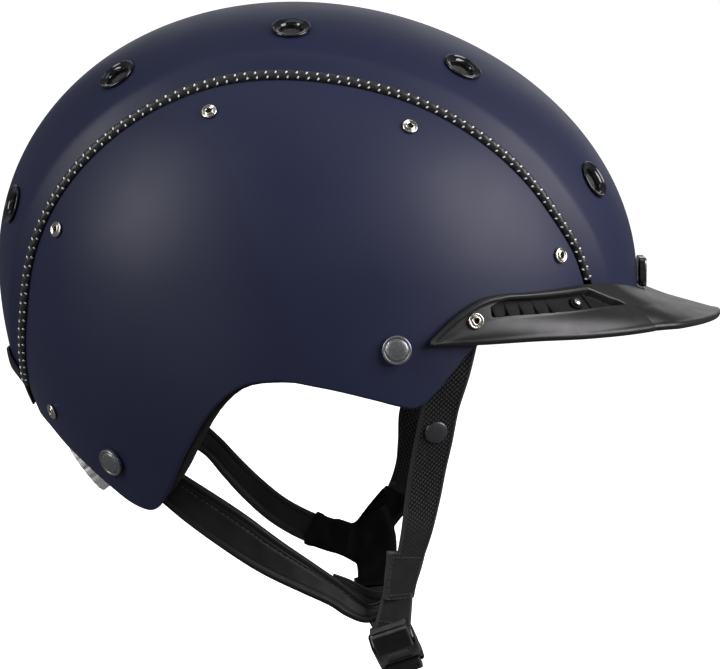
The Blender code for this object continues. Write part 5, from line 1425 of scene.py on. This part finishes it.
def cradle_yoke():
    azimuth, height = np.array([70.5, 84, 100, 116]), np.array([PIVOT_Z, -25.5, -30, -40.0])
    arm = lining_point(level_point(azimuth, height), 3.2)
    arm[0] = (PIVOT_X, arm[0][1], PIVOT_Z)
    outward = unit(arm * np.array([0.15, 1, 0]))
    outward[-1] = unit((-0.35, 0.94, 0.0))
    middle = np.arange(-64, 65, 16)
    line = np.concatenate([mirrored(arm, -1), band_point(middle, BAND_RADIUS + 4.0), arm[::-1]])
    facing = np.concatenate([mirrored(outward, -1), band_spoke(middle), outward[::-1]])

    hole_pitch = 9.0

    def ribs(s, u, half):
        border = 0.28 * smooth((np.abs(u) - half + 2.2) / 0.5)
        holes = -0.3 * smooth((1.5 - np.hypot((s % hole_pitch) - hole_pitch / 2, u)) / 0.4)
        return border + holes

    fine, normals = spline(line, 160), unit(spline(facing, 160))
    band = strap(fine, normals, 15.0, 1.8, ribs, 0.6, 0.5)
    place = frame_at(band_point(0, BAND_RADIUS), DIAL_AXIS, along=(0, 1, 0))
    housing = turned([(3.2, 8.1), (10.4, 8.1), *arc(10.9, 7.5, 0.6, 90, 0, 4), (11.5, 4.2), (3.2, 4.2)],
                     place, 72, ring=True)
    piece("cradle_yoke_band", "cradle", [("plastic", band), ("plastic", housing)],
          ["cradle_yoke"])


def nape_pad():
    degrees = np.linspace(-34, 34, 60)
    section = 15.0

    def puff(s, u, half):
        seam = 1 - np.exp(-(((s % section) - section / 2) / 1.1) ** 2)
        return 0.9 * (1 - (np.abs(u) / half) ** 3) * (0.4 + 0.6 * seam)

    line, spoke = band_point(degrees, BAND_RADIUS - 5.0), band_spoke(degrees)
    pad("nape_pad", "sewn", "cradle", strap(line, spoke, 17.0, 2.7, puff, 0.6))


def dial_knob():
    """The hand wheel: rounded finger notches, a stepped face and a small boss."""
    place = frame_at(band_point(0, BAND_RADIUS), DIAL_AXIS, along=(0, 1, 0))
    teeth = 16

    def notch(radius, turns):
        dip = 0.072 * (0.5 + 0.5 * np.cos(teeth * turns)) ** 3
        return 1 - dip * smooth((radius - 9.5) / 2.2)

    profile = [(0.6, 14.0), (2.6, 13.9), (3.1, 13.2), (3.6, 12.7), (7.6, 12.7), (8.3, 13.0), (8.8, 13.7),
               (9.6, 14.0), (11.0, 14.0), *arc(11.5, 13.0, 1.0, 80, 0, 6), (12.5, 10.2),
               *arc(11.7, 9.6, 0.8, 0, -80, 5), (10.5, 8.75), (2.4, 8.75)]
    piece("dial_knob_wheel", "dial", [("frost", turned(profile, place, 192, notch=notch))],
          ["dial_knob"], sharp=50)


def repaint(node):
    """Gives a CAD node that stays in view the black plastic's finish."""
    smoothed(repainted(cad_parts[node], "plastic"), 35)


# ---------------------------------------------------------------- assembly
def build():
    add_camera()
    add_studio()
    add_backdrop()
    PAINT.update(make_finishes())
    centre_shell()
    foam_liner()
    for word, side in SIDES.items():
        side_shell(word, side)
        trim_cord(word, side)
        for name, place in eyelet_places(side).items():
            eyelet(f"eyelet_{name}_{word}", "ring", place, 0.45)
        visor_fasteners(word, side)
        cap(f"pivot_cap_{word}", seat_at(beside(PIVOT_X, PIVOT_Z), (0, 1, 0), side), 1.0)
        cap(f"rear_cap_{word}", surface_place(beside(*REAR_CAP), side), 0.45)
        for name, (turn, angle) in VENTS.items():
            vent(word, name, turn, angle * side)
        front_strap(word)
        rear_strap(word, side)
        strap_stud(word, side)
        repaint(f"rack_band_{word}")
    junction_cover()
    rear_trim_plate()
    visor()
    badge()
    headband_pad()
    crown_pad()
    cradle_yoke()
    nape_pad()
    dial_knob()
    repaint("dial_pinion")
    buckle_socket()
    buckle_clip()
    buckle_prong("front", 1)
    buckle_prong("rear", -1)
    chin_strap()


build()
